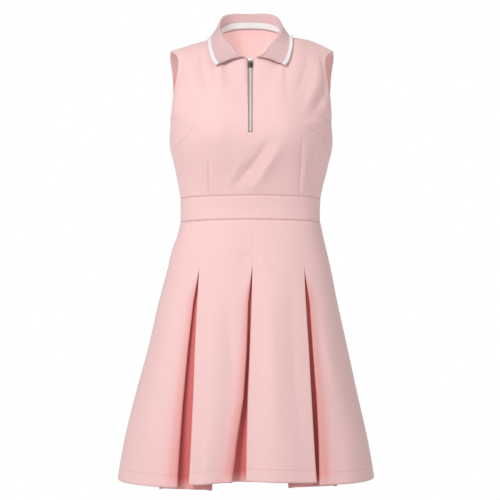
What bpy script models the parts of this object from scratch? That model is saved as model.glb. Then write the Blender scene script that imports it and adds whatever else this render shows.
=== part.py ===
# Sleeveless polo dress, filled out as it is worn: knitted collar, short front zip, darted
# bodice, waistband, and a flared skirt with inverted box pleats.
# Metres, +Z up, the front faces -Y. The origin lies between the shoulders, where the dress is carried.
# Lengths in the tables are millimetres, and angles degrees.

from collections import namedtuple
import math

import bmesh
import bpy
from mathutils import Vector
from mathutils.bvhtree import BVHTree
import numpy as np

MM = 0.001

# Driving sizes of the cloth and the seams
CLOTH = 1.2
BAND_CLOTH = 1.8
KNIT = 1.8
TAPE_CLOTH = 0.6
SEAM_GAP = 0.3
WAIST_TOP = -306.0
WAIST_BOTTOM = -353.0
WAIST_ARCH = 4.0
UNDERARM = -150.0
SHOULDER_Y = 4.0
SHOULDER_SHIFT_RIGHT = 0.0
SHOULDER_SHIFT_LEFT = 5.5
SHOULDER_BOW_RIGHT = 1.0
SHOULDER_BOW_LEFT = 8.5
COLLAR_SHIFT = -4.0
NECK_ANGLE = 26.0
DIAGONAL_FULLNESS = 0.05

# Driving sizes of the zip
SLIT_WIDTH = 8.4
ZIP_BOTTOM = -181.0
CHAIN_WIDTH = 6.4
CHAIN_THICKNESS = 1.4
ZIP_TAPE_WIDTH = 26.0
SLIDER_CENTRE = -36.5
SLIDER_LENGTH = 12.0
SLIDER_WIDTH = 9.6
SLIDER_THICKNESS = 2.6
PULL_LENGTH = 14.0
PULL_WIDTH = 8.0
PULL_THICKNESS = 1.3
PULL_ROD_RADIUS = 0.55
PULL_TILT = 4.0
BAIL_WIDTH = 2.0

# Horizontal sections of the dress: half-widths to the wearer's right (-X) and left (+X), depths before and behind
Section = namedtuple("Section", "z right left front back")
BODICE_SECTIONS = (
    Section(-358, 139.5, 139.0, 95, 88),
    Section(-330, 139.0, 138.0, 93, 85),
    Section(-306, 139.8, 139.5, 95, 85),
    Section(-282, 143.5, 144.0, 101, 87),
    Section(-258, 148.0, 150.5, 109, 92),
    Section(-234, 153.5, 156.0, 118, 97),
    Section(-210, 159.5, 162.0, 124, 101),
    Section(-186, 161.0, 163.5, 127, 103),
    Section(-168, 160.0, 162.0, 126, 104),
    Section(-150, 159.0, 161.0, 122, 105),
    Section(-130, 158.5, 160.0, 115, 105),
)
SKIRT_SECTIONS = (
    Section(-353, 139.5, 139.0, 95, 88),
    Section(-378, 145.0, 144.0, 99, 96),
    Section(-410, 156.5, 151.5, 105, 105),
    Section(-442, 164.0, 159.0, 111, 113),
    Section(-506, 181.0, 171.5, 123, 127),
    Section(-602, 203.0, 192.5, 140, 144),
    Section(-698, 229.0, 213.0, 157, 160),
    Section(-794, 252.0, 234.0, 173, 175),
    Section(-870, 265.0, 247.0, 184, 185),
)

# Bust fullness that the darts give
BUST_X = 74.0
BUST_Z = -176.0
BUST_HEIGHT = 7.0
BUST_SPREAD_X = 44.0
BUST_SPREAD_ABOVE = 60.0
BUST_SPREAD_BELOW = 44.0

# Neck seam from the centre back (share 0) over the shoulder (0.5) to the zip (1)
SeamPoint = namedtuple("SeamPoint", "share x y z")
NECK_SEAM = (
    SeamPoint(0.00, 0.0, 62.0, 38.0),
    SeamPoint(0.20, 33.0, 57.0, 35.5),
    SeamPoint(0.35, 54.0, 38.0, 28.0),
    SeamPoint(0.50, 66.0, 4.0, 16.0),
    SeamPoint(0.62, 65.0, -17.0, 8.0),
    SeamPoint(0.75, 57.0, -38.0, -6.0),
    SeamPoint(0.87, 40.0, -56.0, -20.0),
    SeamPoint(0.95, 22.0, -64.5, -29.0),
    SeamPoint(1.00, 0.0, -68.5, -34.0),
)
COLLAR_FOLD = (
    SeamPoint(0.00, 0.0, 57.0, 69.0),
    SeamPoint(0.20, 34.0, 51.5, 68.5),
    SeamPoint(0.35, 51.5, 35.0, 61.5),
    SeamPoint(0.50, 59.5, 9.0, 43.5),
    SeamPoint(0.62, 58.5, -13.0, 29.0),
    SeamPoint(0.75, 50.0, -36.0, 10.0),
    SeamPoint(0.87, 34.5, -54.0, -9.0),
    SeamPoint(0.95, 24.5, -64.0, -22.0),
    SeamPoint(1.00, 10.5, -71.0, -28.5),
)
COLLAR_EDGE = (
    SeamPoint(0.00, 0.0, 79.0, 26.0),
    SeamPoint(0.20, 39.0, 73.0, 24.0),
    SeamPoint(0.35, 66.0, 52.0, 20.5),
    SeamPoint(0.50, 81.0, 17.0, 18.5),
    SeamPoint(0.65, 84.0, -20.0, 2.0),
    SeamPoint(0.80, 81.0, -52.0, -20.0),
    SeamPoint(0.92, 75.0, -71.5, -37.5),
    SeamPoint(1.00, 68.5, -80.0, -47.0),
)
COLLAR_FOLD_RADIUS = 2.7
COLLAR_LIFT_BACK = 1.6
COLLAR_LIFT_TIP = 4.5
NECK_TAPE_BOTTOM = 2.0
NECK_TAPE_WIDTH = 12.5
NECK_TAPE_END = 0.43

# Shoulder tip and armhole edges, from the side seam (share 0) to the shoulder tip (1)
SHOULDER_TIP = (160.0, SHOULDER_Y, -12.0)
ArmholePoint = namedtuple("ArmholePoint", "share x y z")
ARMHOLE_FRONT = (
    ArmholePoint(0.00, 160.0, 0.0, -150.0),
    ArmholePoint(0.05, 160.0, -13.0, -148.5),
    ArmholePoint(0.12, 158.5, -26.0, -141.0),
    ArmholePoint(0.20, 156.5, -35.0, -129.0),
    ArmholePoint(0.30, 154.5, -41.0, -113.0),
    ArmholePoint(0.42, 151.5, -44.0, -94.0),
    ArmholePoint(0.54, 148.0, -44.5, -76.0),
    ArmholePoint(0.65, 145.0, -41.5, -59.0),
    ArmholePoint(0.75, 143.5, -35.5, -44.0),
    ArmholePoint(0.84, 144.0, -27.0, -31.0),
    ArmholePoint(0.92, 149.0, -14.0, -20.0),
    ArmholePoint(1.00, 160.0, 4.0, -12.0),
)
ARMHOLE_BACK = (
    ArmholePoint(0.00, 160.0, 0.0, -150.0),
    ArmholePoint(0.06, 159.5, 14.0, -148.5),
    ArmholePoint(0.13, 158.0, 24.0, -141.0),
    ArmholePoint(0.22, 156.5, 31.0, -128.0),
    ArmholePoint(0.35, 156.0, 35.5, -108.0),
    ArmholePoint(0.50, 156.5, 36.5, -84.0),
    ArmholePoint(0.65, 157.5, 33.5, -61.0),
    ArmholePoint(0.78, 159.5, 27.5, -43.0),
    ArmholePoint(0.90, 161.5, 17.0, -25.0),
    ArmholePoint(1.00, 160.0, 4.0, -12.0),
)

# Direction in which the cloth arrives at its top edge: at the centre, beside the neck and at the shoulder tip
TopLean = namedtuple("TopLean", "angle along rise")
FRONT_LEAN = (
    TopLean(0, 0.40, 0.92),
    TopLean(8, 0.50, 0.86),
    TopLean(13, 0.66, 0.74),
    TopLean(19, 0.84, 0.52),
    TopLean(26, 0.94, 0.32),
    TopLean(60, 0.97, 0.22),
    TopLean(90, 0.98, 0.20),
)
BACK_LEAN = (
    TopLean(0, 0.45, 0.89),
    TopLean(13, 0.62, 0.78),
    TopLean(19, 0.82, 0.56),
    TopLean(26, 0.94, 0.32),
    TopLean(60, 0.97, 0.22),
    TopLean(90, 0.98, 0.20),
)

# Inverted pleats: where the two edges lie across the skirt, by height
PleatRow = namedtuple("PleatRow", "z right_edge left_edge")
Pleat = namedtuple("Pleat", "rows under_right_waist under_right_hem under_left_waist under_left_hem under_z")
FRONT_PLEATS = (
    Pleat(
        (
            PleatRow(-353, -88.0, -88.0),
            PleatRow(-441, -100.0, -100.0),
            PleatRow(-512, -112.3, -104.2),
            PleatRow(-605, -122.5, -108.0),
            PleatRow(-700, -131.0, -111.0),
            PleatRow(-790, -137.6, -115.0),
            PleatRow(-870, -142.0, -119.0),
        ),
        24.0, 44.0, 24.0, 44.0, -870.0,
    ),
    Pleat(
        (
            PleatRow(-353, 3.0, 3.0),
            PleatRow(-433, 4.5, 4.5),
            PleatRow(-512, -4.6, 2.4),
            PleatRow(-605, -7.5, -1.0),
            PleatRow(-700, -13.7, -5.0),
            PleatRow(-790, -27.0, -7.4),
            PleatRow(-870, -36.0, -8.6),
        ),
        22.0, 29.0, 24.0, 44.0, -854.0,
    ),
    Pleat(
        (
            PleatRow(-353, 96.0, 96.0),
            PleatRow(-440, 104.5, 104.5),
            PleatRow(-512, 107.8, 116.6),
            PleatRow(-605, 113.7, 122.5),
            PleatRow(-700, 118.3, 129.3),
            PleatRow(-790, 123.2, 133.2),
            PleatRow(-870, 128.2, 134.5),
        ),
        26.0, 55.0, 24.0, 44.0, -865.0,
    ),
)
BACK_PLEATS = (
    Pleat(
        (
            PleatRow(-353, -92.0, -92.0),
            PleatRow(-440, -101.0, -101.0),
            PleatRow(-605, -120.0, -110.0),
            PleatRow(-870, -141.0, -120.0),
        ),
        24.0, 42.0, 24.0, 42.0, -869.0,
    ),
    Pleat(
        (
            PleatRow(-353, 0.0, 0.0),
            PleatRow(-436, 0.0, 0.0),
            PleatRow(-605, -4.5, 4.0),
            PleatRow(-870, -14.0, 10.0),
        ),
        24.0, 42.0, 24.0, 42.0, -864.0,
    ),
    Pleat(
        (
            PleatRow(-353, 92.0, 92.0),
            PleatRow(-440, 101.0, 101.0),
            PleatRow(-605, 110.0, 119.0),
            PleatRow(-870, 121.0, 139.0),
        ),
        24.0, 42.0, 24.0, 42.0, -869.0,
    ),
)
# Panels between the pleats, from the right side seam to the left: height of the hem at both ends, and
# how far the panel swells out at the hem, with the place of the crest across it
Panel = namedtuple("Panel", "hem_right hem_left swell crest")
FRONT_PANELS = (
    Panel(-862, -866, 5.0, 0.55),
    Panel(-859, -854, 11.0, 0.42),
    Panel(-851, -856, 9.0, 0.40),
    Panel(-861, -860, 6.0, 0.30),
)
BACK_PANELS = (
    Panel(-862, -865, 6.0, 0.50),
    Panel(-862, -860, 9.0, 0.55),
    Panel(-860, -862, 9.0, 0.45),
    Panel(-865, -860, 6.0, 0.50),
)
PLEAT_FLAP_WAIST = 2.2
PLEAT_FLAP_HEM = 8.0
PLEAT_UNDER_WAIST = 4.4
PLEAT_UNDER_HEM = 19.0
PLEAT_OPEN_EXTRA = 5.0
PLEAT_EDGE_GAP = 0.5

# Largest creases: troughs (negative) and ridges that lie on the front bodice, from one end to the other
Crease = namedtuple("Crease", "x0 z0 x1 z1 width height")
FRONT_CREASES = (
    Crease(-88, -18, -62, -122, 9, -4.5),
    Crease(70, -178, -30, -292, 15, 4.0),
    Crease(34, -176, -62, -284, 15, -4.0),
    Crease(150, -50, 92, -124, 14, -5.0),
    Crease(96, -178, 94, -290, 13, -3.0),
)

Finish = namedtuple("Finish", "name red green blue roughness metallic")
PINK_CLOTH = Finish("pink_cloth", 0.80, 0.50, 0.48, 0.75, 0.0)
PINK_KNIT = Finish("pink_knit", 0.76, 0.46, 0.46, 0.85, 0.0)
WHITE_TAPE = Finish("white_tape", 0.88, 0.87, 0.86, 0.80, 0.0)
ZIP_CLOTH = Finish("zip_cloth", 0.78, 0.55, 0.53, 0.80, 0.0)
ZIP_SILVER = Finish("zip_silver", 0.72, 0.71, 0.67, 0.35, 0.8)
PULL_GREY = Finish("pull_grey", 0.07, 0.06, 0.06, 0.45, 0.5)


# Curves through the tables

def through(at, values, where):
    """Smooth curve through (at, values), read at where."""
    at = np.asarray(at, float)
    values = np.asarray(values, float)
    order = np.argsort(at)
    at, values = at[order], values[order]
    where = np.clip(np.asarray(where, float), at[0], at[-1])
    slope = np.gradient(values, at)
    i = np.clip(np.searchsorted(at, where) - 1, 0, len(at) - 2)
    step = at[i + 1] - at[i]
    t = (where - at[i]) / step
    start = values[i] * (2 * t**3 - 3 * t**2 + 1) + values[i + 1] * (3 * t**2 - 2 * t**3)
    return start + step * (slope[i] * (t**3 - 2 * t**2 + t) + slope[i + 1] * (t**3 - t**2))


def column(rows, name):
    return [getattr(row, name) for row in rows]


def read(rows, name, key, where):
    """One named column of a table, read by another one."""
    return through(column(rows, key), column(rows, name), where)


def straight(rows, name, key, where):
    """The same with straight lines from row to row."""
    at, values = np.array(column(rows, key), float), np.array(column(rows, name), float)
    order = np.argsort(at)
    return np.interp(where, at[order], values[order])


def smooth_step(t):
    t = np.clip(t, 0.0, 1.0)
    return t * t * (3 - 2 * t)


# Form of the torso: one horizontal section at each height

def torso(angle, z, facing):
    """Point on the section at z. The angle is 0 at the centre and 90 at the wearer's left side seam; facing is -1
    for the front and 1 for the back."""
    angle, z = np.broadcast_arrays(np.asarray(angle, float), np.asarray(z, float))
    a = np.radians(angle)
    half = np.where(a < 0, read(BODICE_SECTIONS, "right", "z", z), read(BODICE_SECTIONS, "left", "z", z))
    depth = read(BODICE_SECTIONS, "front" if facing < 0 else "back", "z", z)
    full = 1 + DIAGONAL_FULLNESS * np.sin(2 * a) ** 2
    x = half * np.sin(a) * full
    y = depth * np.cos(a) * full
    if facing < 0:
        spread = np.where(z > BUST_Z, BUST_SPREAD_ABOVE, BUST_SPREAD_BELOW)
        y = y + BUST_HEIGHT * np.exp(
            -(((np.abs(x) - BUST_X) / BUST_SPREAD_X) ** 2) - ((z - BUST_Z) / spread) ** 2
        )
    return np.stack([x, facing * y, z], axis=-1)


def neck_point(share):
    return np.stack([read(NECK_SEAM, k, "share", share) for k in "xyz"], axis=-1)


def top_edge(angle, facing):
    """Neckline between the shoulders and shoulder seam beyond, by the same angle as the section."""
    size = np.abs(np.asarray(angle, float))
    share = 0.5 * np.clip(size / NECK_ANGLE, 0, 1)
    neck = neck_point(share if facing > 0 else 1 - share)
    out = np.clip((size - NECK_ANGLE) / (90 - NECK_ANGLE), 0, 1)
    point = neck + out[..., None] * (np.array(SHOULDER_TIP) - neck_point(np.array(0.5)))
    point = point * np.stack([np.sign(angle), np.ones_like(size), np.ones_like(size)], axis=-1)
    bow = np.where(np.asarray(angle) < 0, SHOULDER_BOW_RIGHT, SHOULDER_BOW_LEFT)
    point[..., 0] += np.where(np.asarray(angle) < 0, SHOULDER_SHIFT_RIGHT, SHOULDER_SHIFT_LEFT) * out
    point[..., 2] += bow * np.sin(math.pi * out)
    return point


def upper(angle, share, facing):
    """Bodice above the underarm: columns that leave the section upright and roll over to the top edge."""
    angle, share = np.broadcast_arrays(np.asarray(angle, float), np.asarray(share, float))
    bottom = torso(angle, np.full_like(angle, UNDERARM), facing)
    top = top_edge(angle, facing)
    rise = torso(angle, np.full_like(angle, UNDERARM + 1), facing) - bottom
    length = np.linalg.norm(top - bottom, axis=-1)[..., None]
    lean = FRONT_LEAN if facing < 0 else BACK_LEAN
    along = read(lean, "along", "angle", np.abs(angle))
    up = read(lean, "rise", "angle", np.abs(angle))
    arrive = np.stack([np.zeros_like(along), -facing * along, up], axis=-1)
    t = share[..., None]
    point = (
        bottom * (2 * t**3 - 3 * t**2 + 1)
        + top * (3 * t**2 - 2 * t**3)
        + length * (rise * (t**3 - 2 * t**2 + t) + arrive * (t**3 - t**2))
    )
    return point


def armhole_edge(side, share, facing):
    rows = ARMHOLE_FRONT if facing < 0 else ARMHOLE_BACK
    edge = np.stack([read(rows, k, "share", share) for k in "xyz"], axis=-1)
    half = torso(np.array(90.0 * side), np.array(UNDERARM), facing)[0]
    scale = 1 + (abs(half) / rows[0].x - 1) * (1 - share)
    shift = SHOULDER_SHIFT_RIGHT if side < 0 else SHOULDER_SHIFT_LEFT
    edge[..., 0] = edge[..., 0] * side * scale + shift * np.sqrt(share) * smooth_step(share / 0.2)
    return edge


def bodice(angle, height, facing):
    """Bodice cloth. Height runs from 0 at the waist seam over 1 at the underarm to 2 at the top edge."""
    angle, height = np.broadcast_arrays(np.asarray(angle, float), np.asarray(height, float))
    seam = WAIST_TOP + (WAIST_ARCH * np.cos(np.radians(angle)) ** 2 if facing < 0 else 0.0)
    z = seam + (UNDERARM - seam) * np.clip(height, 0, 1)
    low = torso(angle, z, facing)
    share = np.clip(height - 1, 0, 1)
    high = upper(angle, share, facing)
    side = np.where(angle < 0, -1.0, 1.0)
    for s in (-1.0, 1.0):
        pull = armhole_edge(s, share, facing) - upper(np.full_like(angle, 90.0 * s), share, facing)
        weight = np.where(side == s, smooth_step((np.abs(angle) - 38) / 52), 0.0)
        high = high + weight[..., None] * pull
    point = np.where((height <= 1)[..., None], low, high)
    if facing < 0:
        inside = smooth_step((90 - np.abs(angle)) / 25) * smooth_step(height / 0.2) * smooth_step((2 - height) / 0.2)
        point = point + creased(point) * inside[..., None]
    return point


def creased(point):
    """Push of the largest creases, along the front's own facing."""
    push = np.zeros(point.shape[:-1])
    for c in FRONT_CREASES:
        run = np.array([c.x1 - c.x0, c.z1 - c.z0])
        length = np.linalg.norm(run)
        way = run / length
        dx, dz = point[..., 0] - c.x0, point[..., 2] - c.z0
        along = np.clip((dx * way[0] + dz * way[1]) / length, 0, 1)
        beside = dx * way[1] - dz * way[0]
        push += c.height * np.sin(math.pi * along) * np.exp(-((beside / c.width) ** 2))
    out = np.stack([point[..., 0] * 0.6, point[..., 1], np.zeros(push.shape)], axis=-1)
    out /= np.maximum(np.linalg.norm(out, axis=-1, keepdims=True), 1e-6)
    return out * push[..., None]


# Meshes

def material(finish):
    found = bpy.data.materials.get(finish.name)
    if found:
        return found
    made = bpy.data.materials.new(finish.name)
    made.use_nodes = True
    shader = made.node_tree.nodes["Principled BSDF"]
    shader.inputs["Base Color"].default_value = (finish.red, finish.green, finish.blue, 1.0)
    shader.inputs["Roughness"].default_value = finish.roughness
    shader.inputs["Metallic"].default_value = finish.metallic
    made.diffuse_color = (finish.red, finish.green, finish.blue, 1.0)
    return made


def add_object(name, bm, finish):
    bmesh.ops.recalc_face_normals(bm, faces=bm.faces[:])
    mesh = bpy.data.meshes.new(name)
    bm.to_mesh(mesh)
    bm.free()
    mesh.shade_smooth()
    mesh.set_sharp_from_angle(angle=math.radians(50))
    mesh.materials.append(material(finish))
    made = bpy.data.objects.new(name, mesh)
    bpy.context.scene.collection.objects.link(made)
    return made


def grid_normals(points):
    across = np.gradient(points, axis=1)
    up = np.gradient(points, axis=0)
    normal = np.cross(across, up)
    return normal / np.maximum(np.linalg.norm(normal, axis=-1, keepdims=True), 1e-9)


def cloth(name, points, thickness, finish, level_rows=(), seam_columns=(), seam_rows=(), leave_out=None):
    """A wall round the middle surface points[row][column], in millimetres. Its ends are level in level_rows,
    and face across (no Y) in seam_columns and seam_rows, so that neighbours keep the same gap all through."""
    rows, columns = points.shape[:2]
    normal = grid_normals(points)
    for r in level_rows:
        normal[r, :, 2] = 0
    for c in seam_columns:
        normal[:, c, 1] = 0
    for r, first, last in seam_rows:
        normal[r, first:last, 1] = 0
    normal /= np.linalg.norm(normal, axis=-1, keepdims=True)
    bm = bmesh.new()
    bmesh.ops.create_grid(bm, x_segments=columns - 1, y_segments=rows - 1, size=1)
    bm.verts.ensure_lookup_table()
    cell = {}
    for v in bm.verts:
        cell[v] = (round((v.co.y + 1) / 2 * (rows - 1)), round((v.co.x + 1) / 2 * (columns - 1)))
        v.co = Vector((points[cell[v]] - normal[cell[v]] * thickness / 2) * MM)
    if leave_out:
        gone = [f for f in bm.faces if leave_out(*[min(cell[v][k] for v in f.verts) for k in (0, 1)])]
        bmesh.ops.delete(bm, geom=gone, context="FACES")
    inner = list(bm.verts)
    where = {tuple(v.co): cell[v] for v in inner}
    made = bmesh.ops.extrude_face_region(bm, geom=bm.faces[:], use_keep_orig=True)
    for v in made["geom"]:
        if isinstance(v, bmesh.types.BMVert):
            v.co = Vector(np.array(v.co) + normal[where[tuple(v.co)]] * thickness * MM)
    return add_object(name, bm, finish)


def surface_tree(points):
    """Nearest-point lookup on a middle surface, in millimetres."""
    rows, columns = points.shape[:2]
    corners = [Vector(p) for p in points.reshape(-1, 3)]
    faces = [
        (r * columns + c, r * columns + c + 1, (r + 1) * columns + c + 1, (r + 1) * columns + c)
        for r in range(rows - 1)
        for c in range(columns - 1)
    ]
    return BVHTree.FromPolygons(corners, faces)


def clear_of(trees, point, distance, reach=16.0):
    """The point, moved out where it lies less than distance outside a surface nearby."""
    for _ in range(2):
        for tree in trees:
            place, normal, _, away = tree.find_nearest(Vector(point))
            height = (Vector(point) - place).dot(normal)
            if away < reach and height < distance:
                point = np.array(Vector(point) + normal * (distance - height))
    return point


# Bodice

FRONT_ANGLES_HALF = (1.32, 7, 13, 19, 25.99, 31, 37, 44, 51, 58, 65, 72, 78, 84, 90)
FRONT_HEIGHTS = (
    0, 0.2, 0.4, 0.57, 0.7, 0.8, 0.9, 1.0, 1.05, 1.12, 1.2, 1.3, 1.42, 1.54, 1.65, 1.75, 1.84, 1.92, 2,
)
BACK_ANGLES_HALF = (0, 7, 13, 19, 25.99, 33, 41, 49, 57, 65, 73, 81, 90)
BACK_HEIGHTS = (0, 0.25, 0.5, 0.75, 1.0, 1.06, 1.13, 1.22, 1.35, 1.5, 1.65, 1.78, 1.9, 2)


def mirrored(half):
    return np.array([-a for a in reversed(half)] + [a for a in half if a > 0])


def bodice_grid(angles, heights, facing):
    return bodice(angles[None, :], np.array(heights, float)[:, None], facing)


def with_slit(points, angles):
    """Brings the two middle columns to the slit's edges."""
    middle = len(angles) // 2
    for c, side in ((middle - 1, -1), (middle, 1)):
        points[:, c, 0] = side * SLIT_WIDTH / 2
    return points


def front_bodice():
    angles = mirrored(FRONT_ANGLES_HALF)
    points = with_slit(bodice_grid(angles, FRONT_HEIGHTS, -1), angles)
    middle = len(angles) // 2
    slit_row = next(r for r, z in enumerate(points[:, middle, 2]) if z > ZIP_BOTTOM)
    points[slit_row, middle - 1:middle + 1, 2] = ZIP_BOTTOM
    points[:, 0, 1] -= SEAM_GAP / 2
    points[:, -1, 1] -= SEAM_GAP / 2
    points[0, :, 2] += SEAM_GAP / 2
    neck = [c for c, a in enumerate(angles) if abs(a) < NECK_ANGLE]
    points[-1, :neck[0], 1] -= SEAM_GAP / 2
    points[-1, neck[-1] + 1:, 1] -= SEAM_GAP / 2
    made = cloth(
        "front_bodice", points, CLOTH, PINK_CLOTH,
        level_rows=(0,), seam_columns=(0, len(angles) - 1),
        seam_rows=((-1, 0, neck[0] + 1), (-1, neck[-1], len(angles))),
        leave_out=lambda r, c: c == middle - 1 and r >= slit_row,
    )
    return made, points


def back_bodice():
    angles = mirrored(BACK_ANGLES_HALF)
    points = bodice_grid(angles, BACK_HEIGHTS, 1)[:, ::-1]
    points[:, 0, 1] += SEAM_GAP / 2
    points[:, -1, 1] += SEAM_GAP / 2
    points[0, :, 2] += SEAM_GAP / 2
    neck = [c for c, a in enumerate(angles) if abs(a) < NECK_ANGLE]
    points[-1, :neck[0], 1] += SEAM_GAP / 2
    points[-1, neck[-1] + 1:, 1] += SEAM_GAP / 2
    made = cloth(
        "back_bodice", points, CLOTH, PINK_CLOTH,
        level_rows=(0,), seam_columns=(0, len(angles) - 1),
        seam_rows=((-1, 0, neck[0] + 1), (-1, neck[-1], len(angles))),
    )
    return made, points


# Waistband

def waistband(name, facing):
    angles = np.linspace(-90, 90, 21)
    arch = WAIST_ARCH * np.cos(np.radians(angles)) ** 2 if facing < 0 else 0 * angles
    rows = []
    for share in (0.0, 0.5, 1.0):
        z = WAIST_BOTTOM + share * (WAIST_TOP - WAIST_BOTTOM) + arch
        z = z + SEAM_GAP / 2 * (1 - 2 * share)
        rows.append(torso(angles, z, facing))
    points = np.array(rows)
    points[:, (0, -1), 1] += facing * SEAM_GAP / 2
    if facing > 0:
        points = points[:, ::-1]
    return cloth(name, points, BAND_CLOTH, PINK_CLOTH, level_rows=(0, 2), seam_columns=(0, 20))


# Skirt

SKIRT_SHARES = (0, 0.08, 0.17, 0.3, 0.47, 0.64, 0.82, 1.0)
OUTLINE_ANGLES = np.linspace(-90, 90, 361)
FOLD_ANGLES = np.radians((-90, -30, 30, 90))
PANEL_POINTS = 5
HEM_NOMINAL = -866.0


def outline(z, facing):
    """Front or back half of the skirt's section, from the wearer's right seam to the left one, with inward normals."""
    a = np.radians(OUTLINE_ANGLES)
    half = np.where(a < 0, read(SKIRT_SECTIONS, "right", "z", z), read(SKIRT_SECTIONS, "left", "z", z))
    depth = read(SKIRT_SECTIONS, "front" if facing < 0 else "back", "z", z)
    full = 1 + DIAGONAL_FULLNESS * np.sin(2 * a) ** 2
    line = np.stack([half * np.sin(a) * full, facing * depth * np.cos(a) * full], axis=-1)
    along = np.concatenate([[0], np.cumsum(np.linalg.norm(np.diff(line, axis=0), axis=1))])
    step = np.gradient(line, axis=0)
    inward = np.stack([step[:, 1], -step[:, 0]], axis=-1) * facing
    return line, along, inward / np.linalg.norm(inward, axis=1, keepdims=True)


def fold(centre, radius, depth, turn):
    """Half a turn from depth to the next layer: (along, inward) points. Turn is 1 where the bend points left."""
    way = 1 if radius > 0 else -1
    size = abs(radius)
    return [(centre + turn * size * math.cos(b), depth + size + way * size * math.sin(b)) for b in FOLD_ANGLES]


def skirt_path(share, pleats, panels, facing):
    """Stations round one half at one height: (along, inward, hem height), from the right seam to the left one."""
    z = WAIST_BOTTOM + share * (HEM_NOMINAL - WAIST_BOTTOM)
    line, along, inward = outline(z, facing)
    flap = PLEAT_FLAP_WAIST + share**1.3 * (PLEAT_FLAP_HEM - PLEAT_FLAP_WAIST)
    under = PLEAT_UNDER_WAIST + share**1.3 * (PLEAT_UNDER_HEM - PLEAT_UNDER_WAIST)
    first, second = flap / 2, (under - flap) / 2
    edges = []
    for p in pleats:
        right, left = (float(straight(p.rows, k, "z", z)) for k in ("right_edge", "left_edge"))
        lack = max(0.0, PLEAT_EDGE_GAP + CLOTH - (left - right))
        edges.append([float(np.interp(x, line[:, 0], along)) for x in (right - lack / 2, left + lack / 2)])
    stations = []
    starts = [along[0]] + [e[1] for e in edges]
    ends = [e[0] for e in edges] + [along[-1]]
    for i, panel in enumerate(panels):
        start = starts[i] + (first if i else 0)
        end = ends[i] - (first if i < len(pleats) else 0)
        for k in range(PANEL_POINTS + 2):
            at = k / (PANEL_POINTS + 1)
            if (k == 0 and i) or (k == PANEL_POINTS + 1 and i < len(pleats)):
                continue
            bow = at / panel.crest if at < panel.crest else (1 - at) / (1 - panel.crest)
            out = -panel.swell * share * math.sin(math.pi / 2 * bow) ** 2
            stations.append((start + at * (end - start), out, panel.hem_right + at * (panel.hem_left - panel.hem_right)))
        if i == len(pleats):
            break
        p, (right, left) = pleats[i], edges[i]
        hem_in, hem_out, hem_next = panel.hem_left, p.under_z, panels[i + 1].hem_right
        deep_right = right - (p.under_right_waist + share * (p.under_right_hem - p.under_right_waist))
        deep_left = left + (p.under_left_waist + share * (p.under_left_hem - p.under_left_waist))
        stations += [(s, n, hem_in) for s, n in fold(right - first, first, 0, 1)]
        stations.append(((right + deep_right) / 2, flap, (hem_in + hem_out) / 2))
        stations += [(s, n, hem_out) for s, n in fold(deep_right + second, second, flap, -1)]
        stations.append((right - first, under, hem_out))
        stations.append(((right + left) / 2, under + share * PLEAT_OPEN_EXTRA, hem_out))
        stations.append((left + first, under, hem_out))
        stations += [(s, n, hem_out) for s, n in fold(deep_left - second, -second, flap, 1)]
        stations.append(((left + deep_left) / 2, flap, (hem_next + hem_out) / 2))
        stations += [(s, n, hem_next) for s, n in fold(left + first, -first, 0, -1)]
    points = []
    for s, n, hem in stations:
        base = np.array([np.interp(s, along, line[:, k]) for k in (0, 1)])
        side = np.array([np.interp(s, along, inward[:, k]) for k in (0, 1)])
        place = base + side * n
        points.append((place[0], place[1], z + (hem - HEM_NOMINAL) * share**2))
    return np.array(points)


def skirt(name, pleats, panels, facing):
    points = np.array([skirt_path(s, pleats, panels, facing) for s in reversed(SKIRT_SHARES)])
    points[-1, :, 2] -= SEAM_GAP / 2
    points[:, (0, -1), 1] += facing * SEAM_GAP / 2
    last = points.shape[1] - 1
    if facing < 0:
        arch = WAIST_ARCH * (1 - (points[-1, :, 0] / points[-1, last, 0]) ** 2)
        for r, share in enumerate(reversed(SKIRT_SHARES)):
            points[r, :, 2] += arch * max(0.0, 1 - 4 * share)
    else:
        points = points[:, ::-1]
    return cloth(name, points, CLOTH, PINK_CLOTH, level_rows=(0, len(points) - 1), seam_columns=(0, last))


# Collar and neck tape

COLLAR_SHARES = (0, 0.09, 0.18, 0.27, 0.35, 0.43, 0.50, 0.57, 0.64, 0.71, 0.78, 0.84, 0.90, 0.95, 1.0)
LEAF_POINTS = 5
FOLD_POINTS = 5
COLLAR_END = 0.028
COLLAR_ABOVE_SEAM = 1.0
COLLAR_FRONT_RISE = 0.9


def stand(share, side):
    """Foot and fold of the collar's stand, in the mirrored frame of one side."""
    shift = side * COLLAR_SHIFT * smooth_step(1 - share / 0.6)
    foot = neck_point(np.array(share - COLLAR_END * smooth_step((share - 0.85) / 0.15)))
    foot = foot + np.array([0, 0, COLLAR_ABOVE_SEAM + COLLAR_FRONT_RISE * smooth_step((share - 0.75) / 0.15)])
    top = np.array([float(read(COLLAR_FOLD, k, "share", share)) for k in "xyz"])
    return foot, top + np.array([shift, 0, 0]), shift


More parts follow.
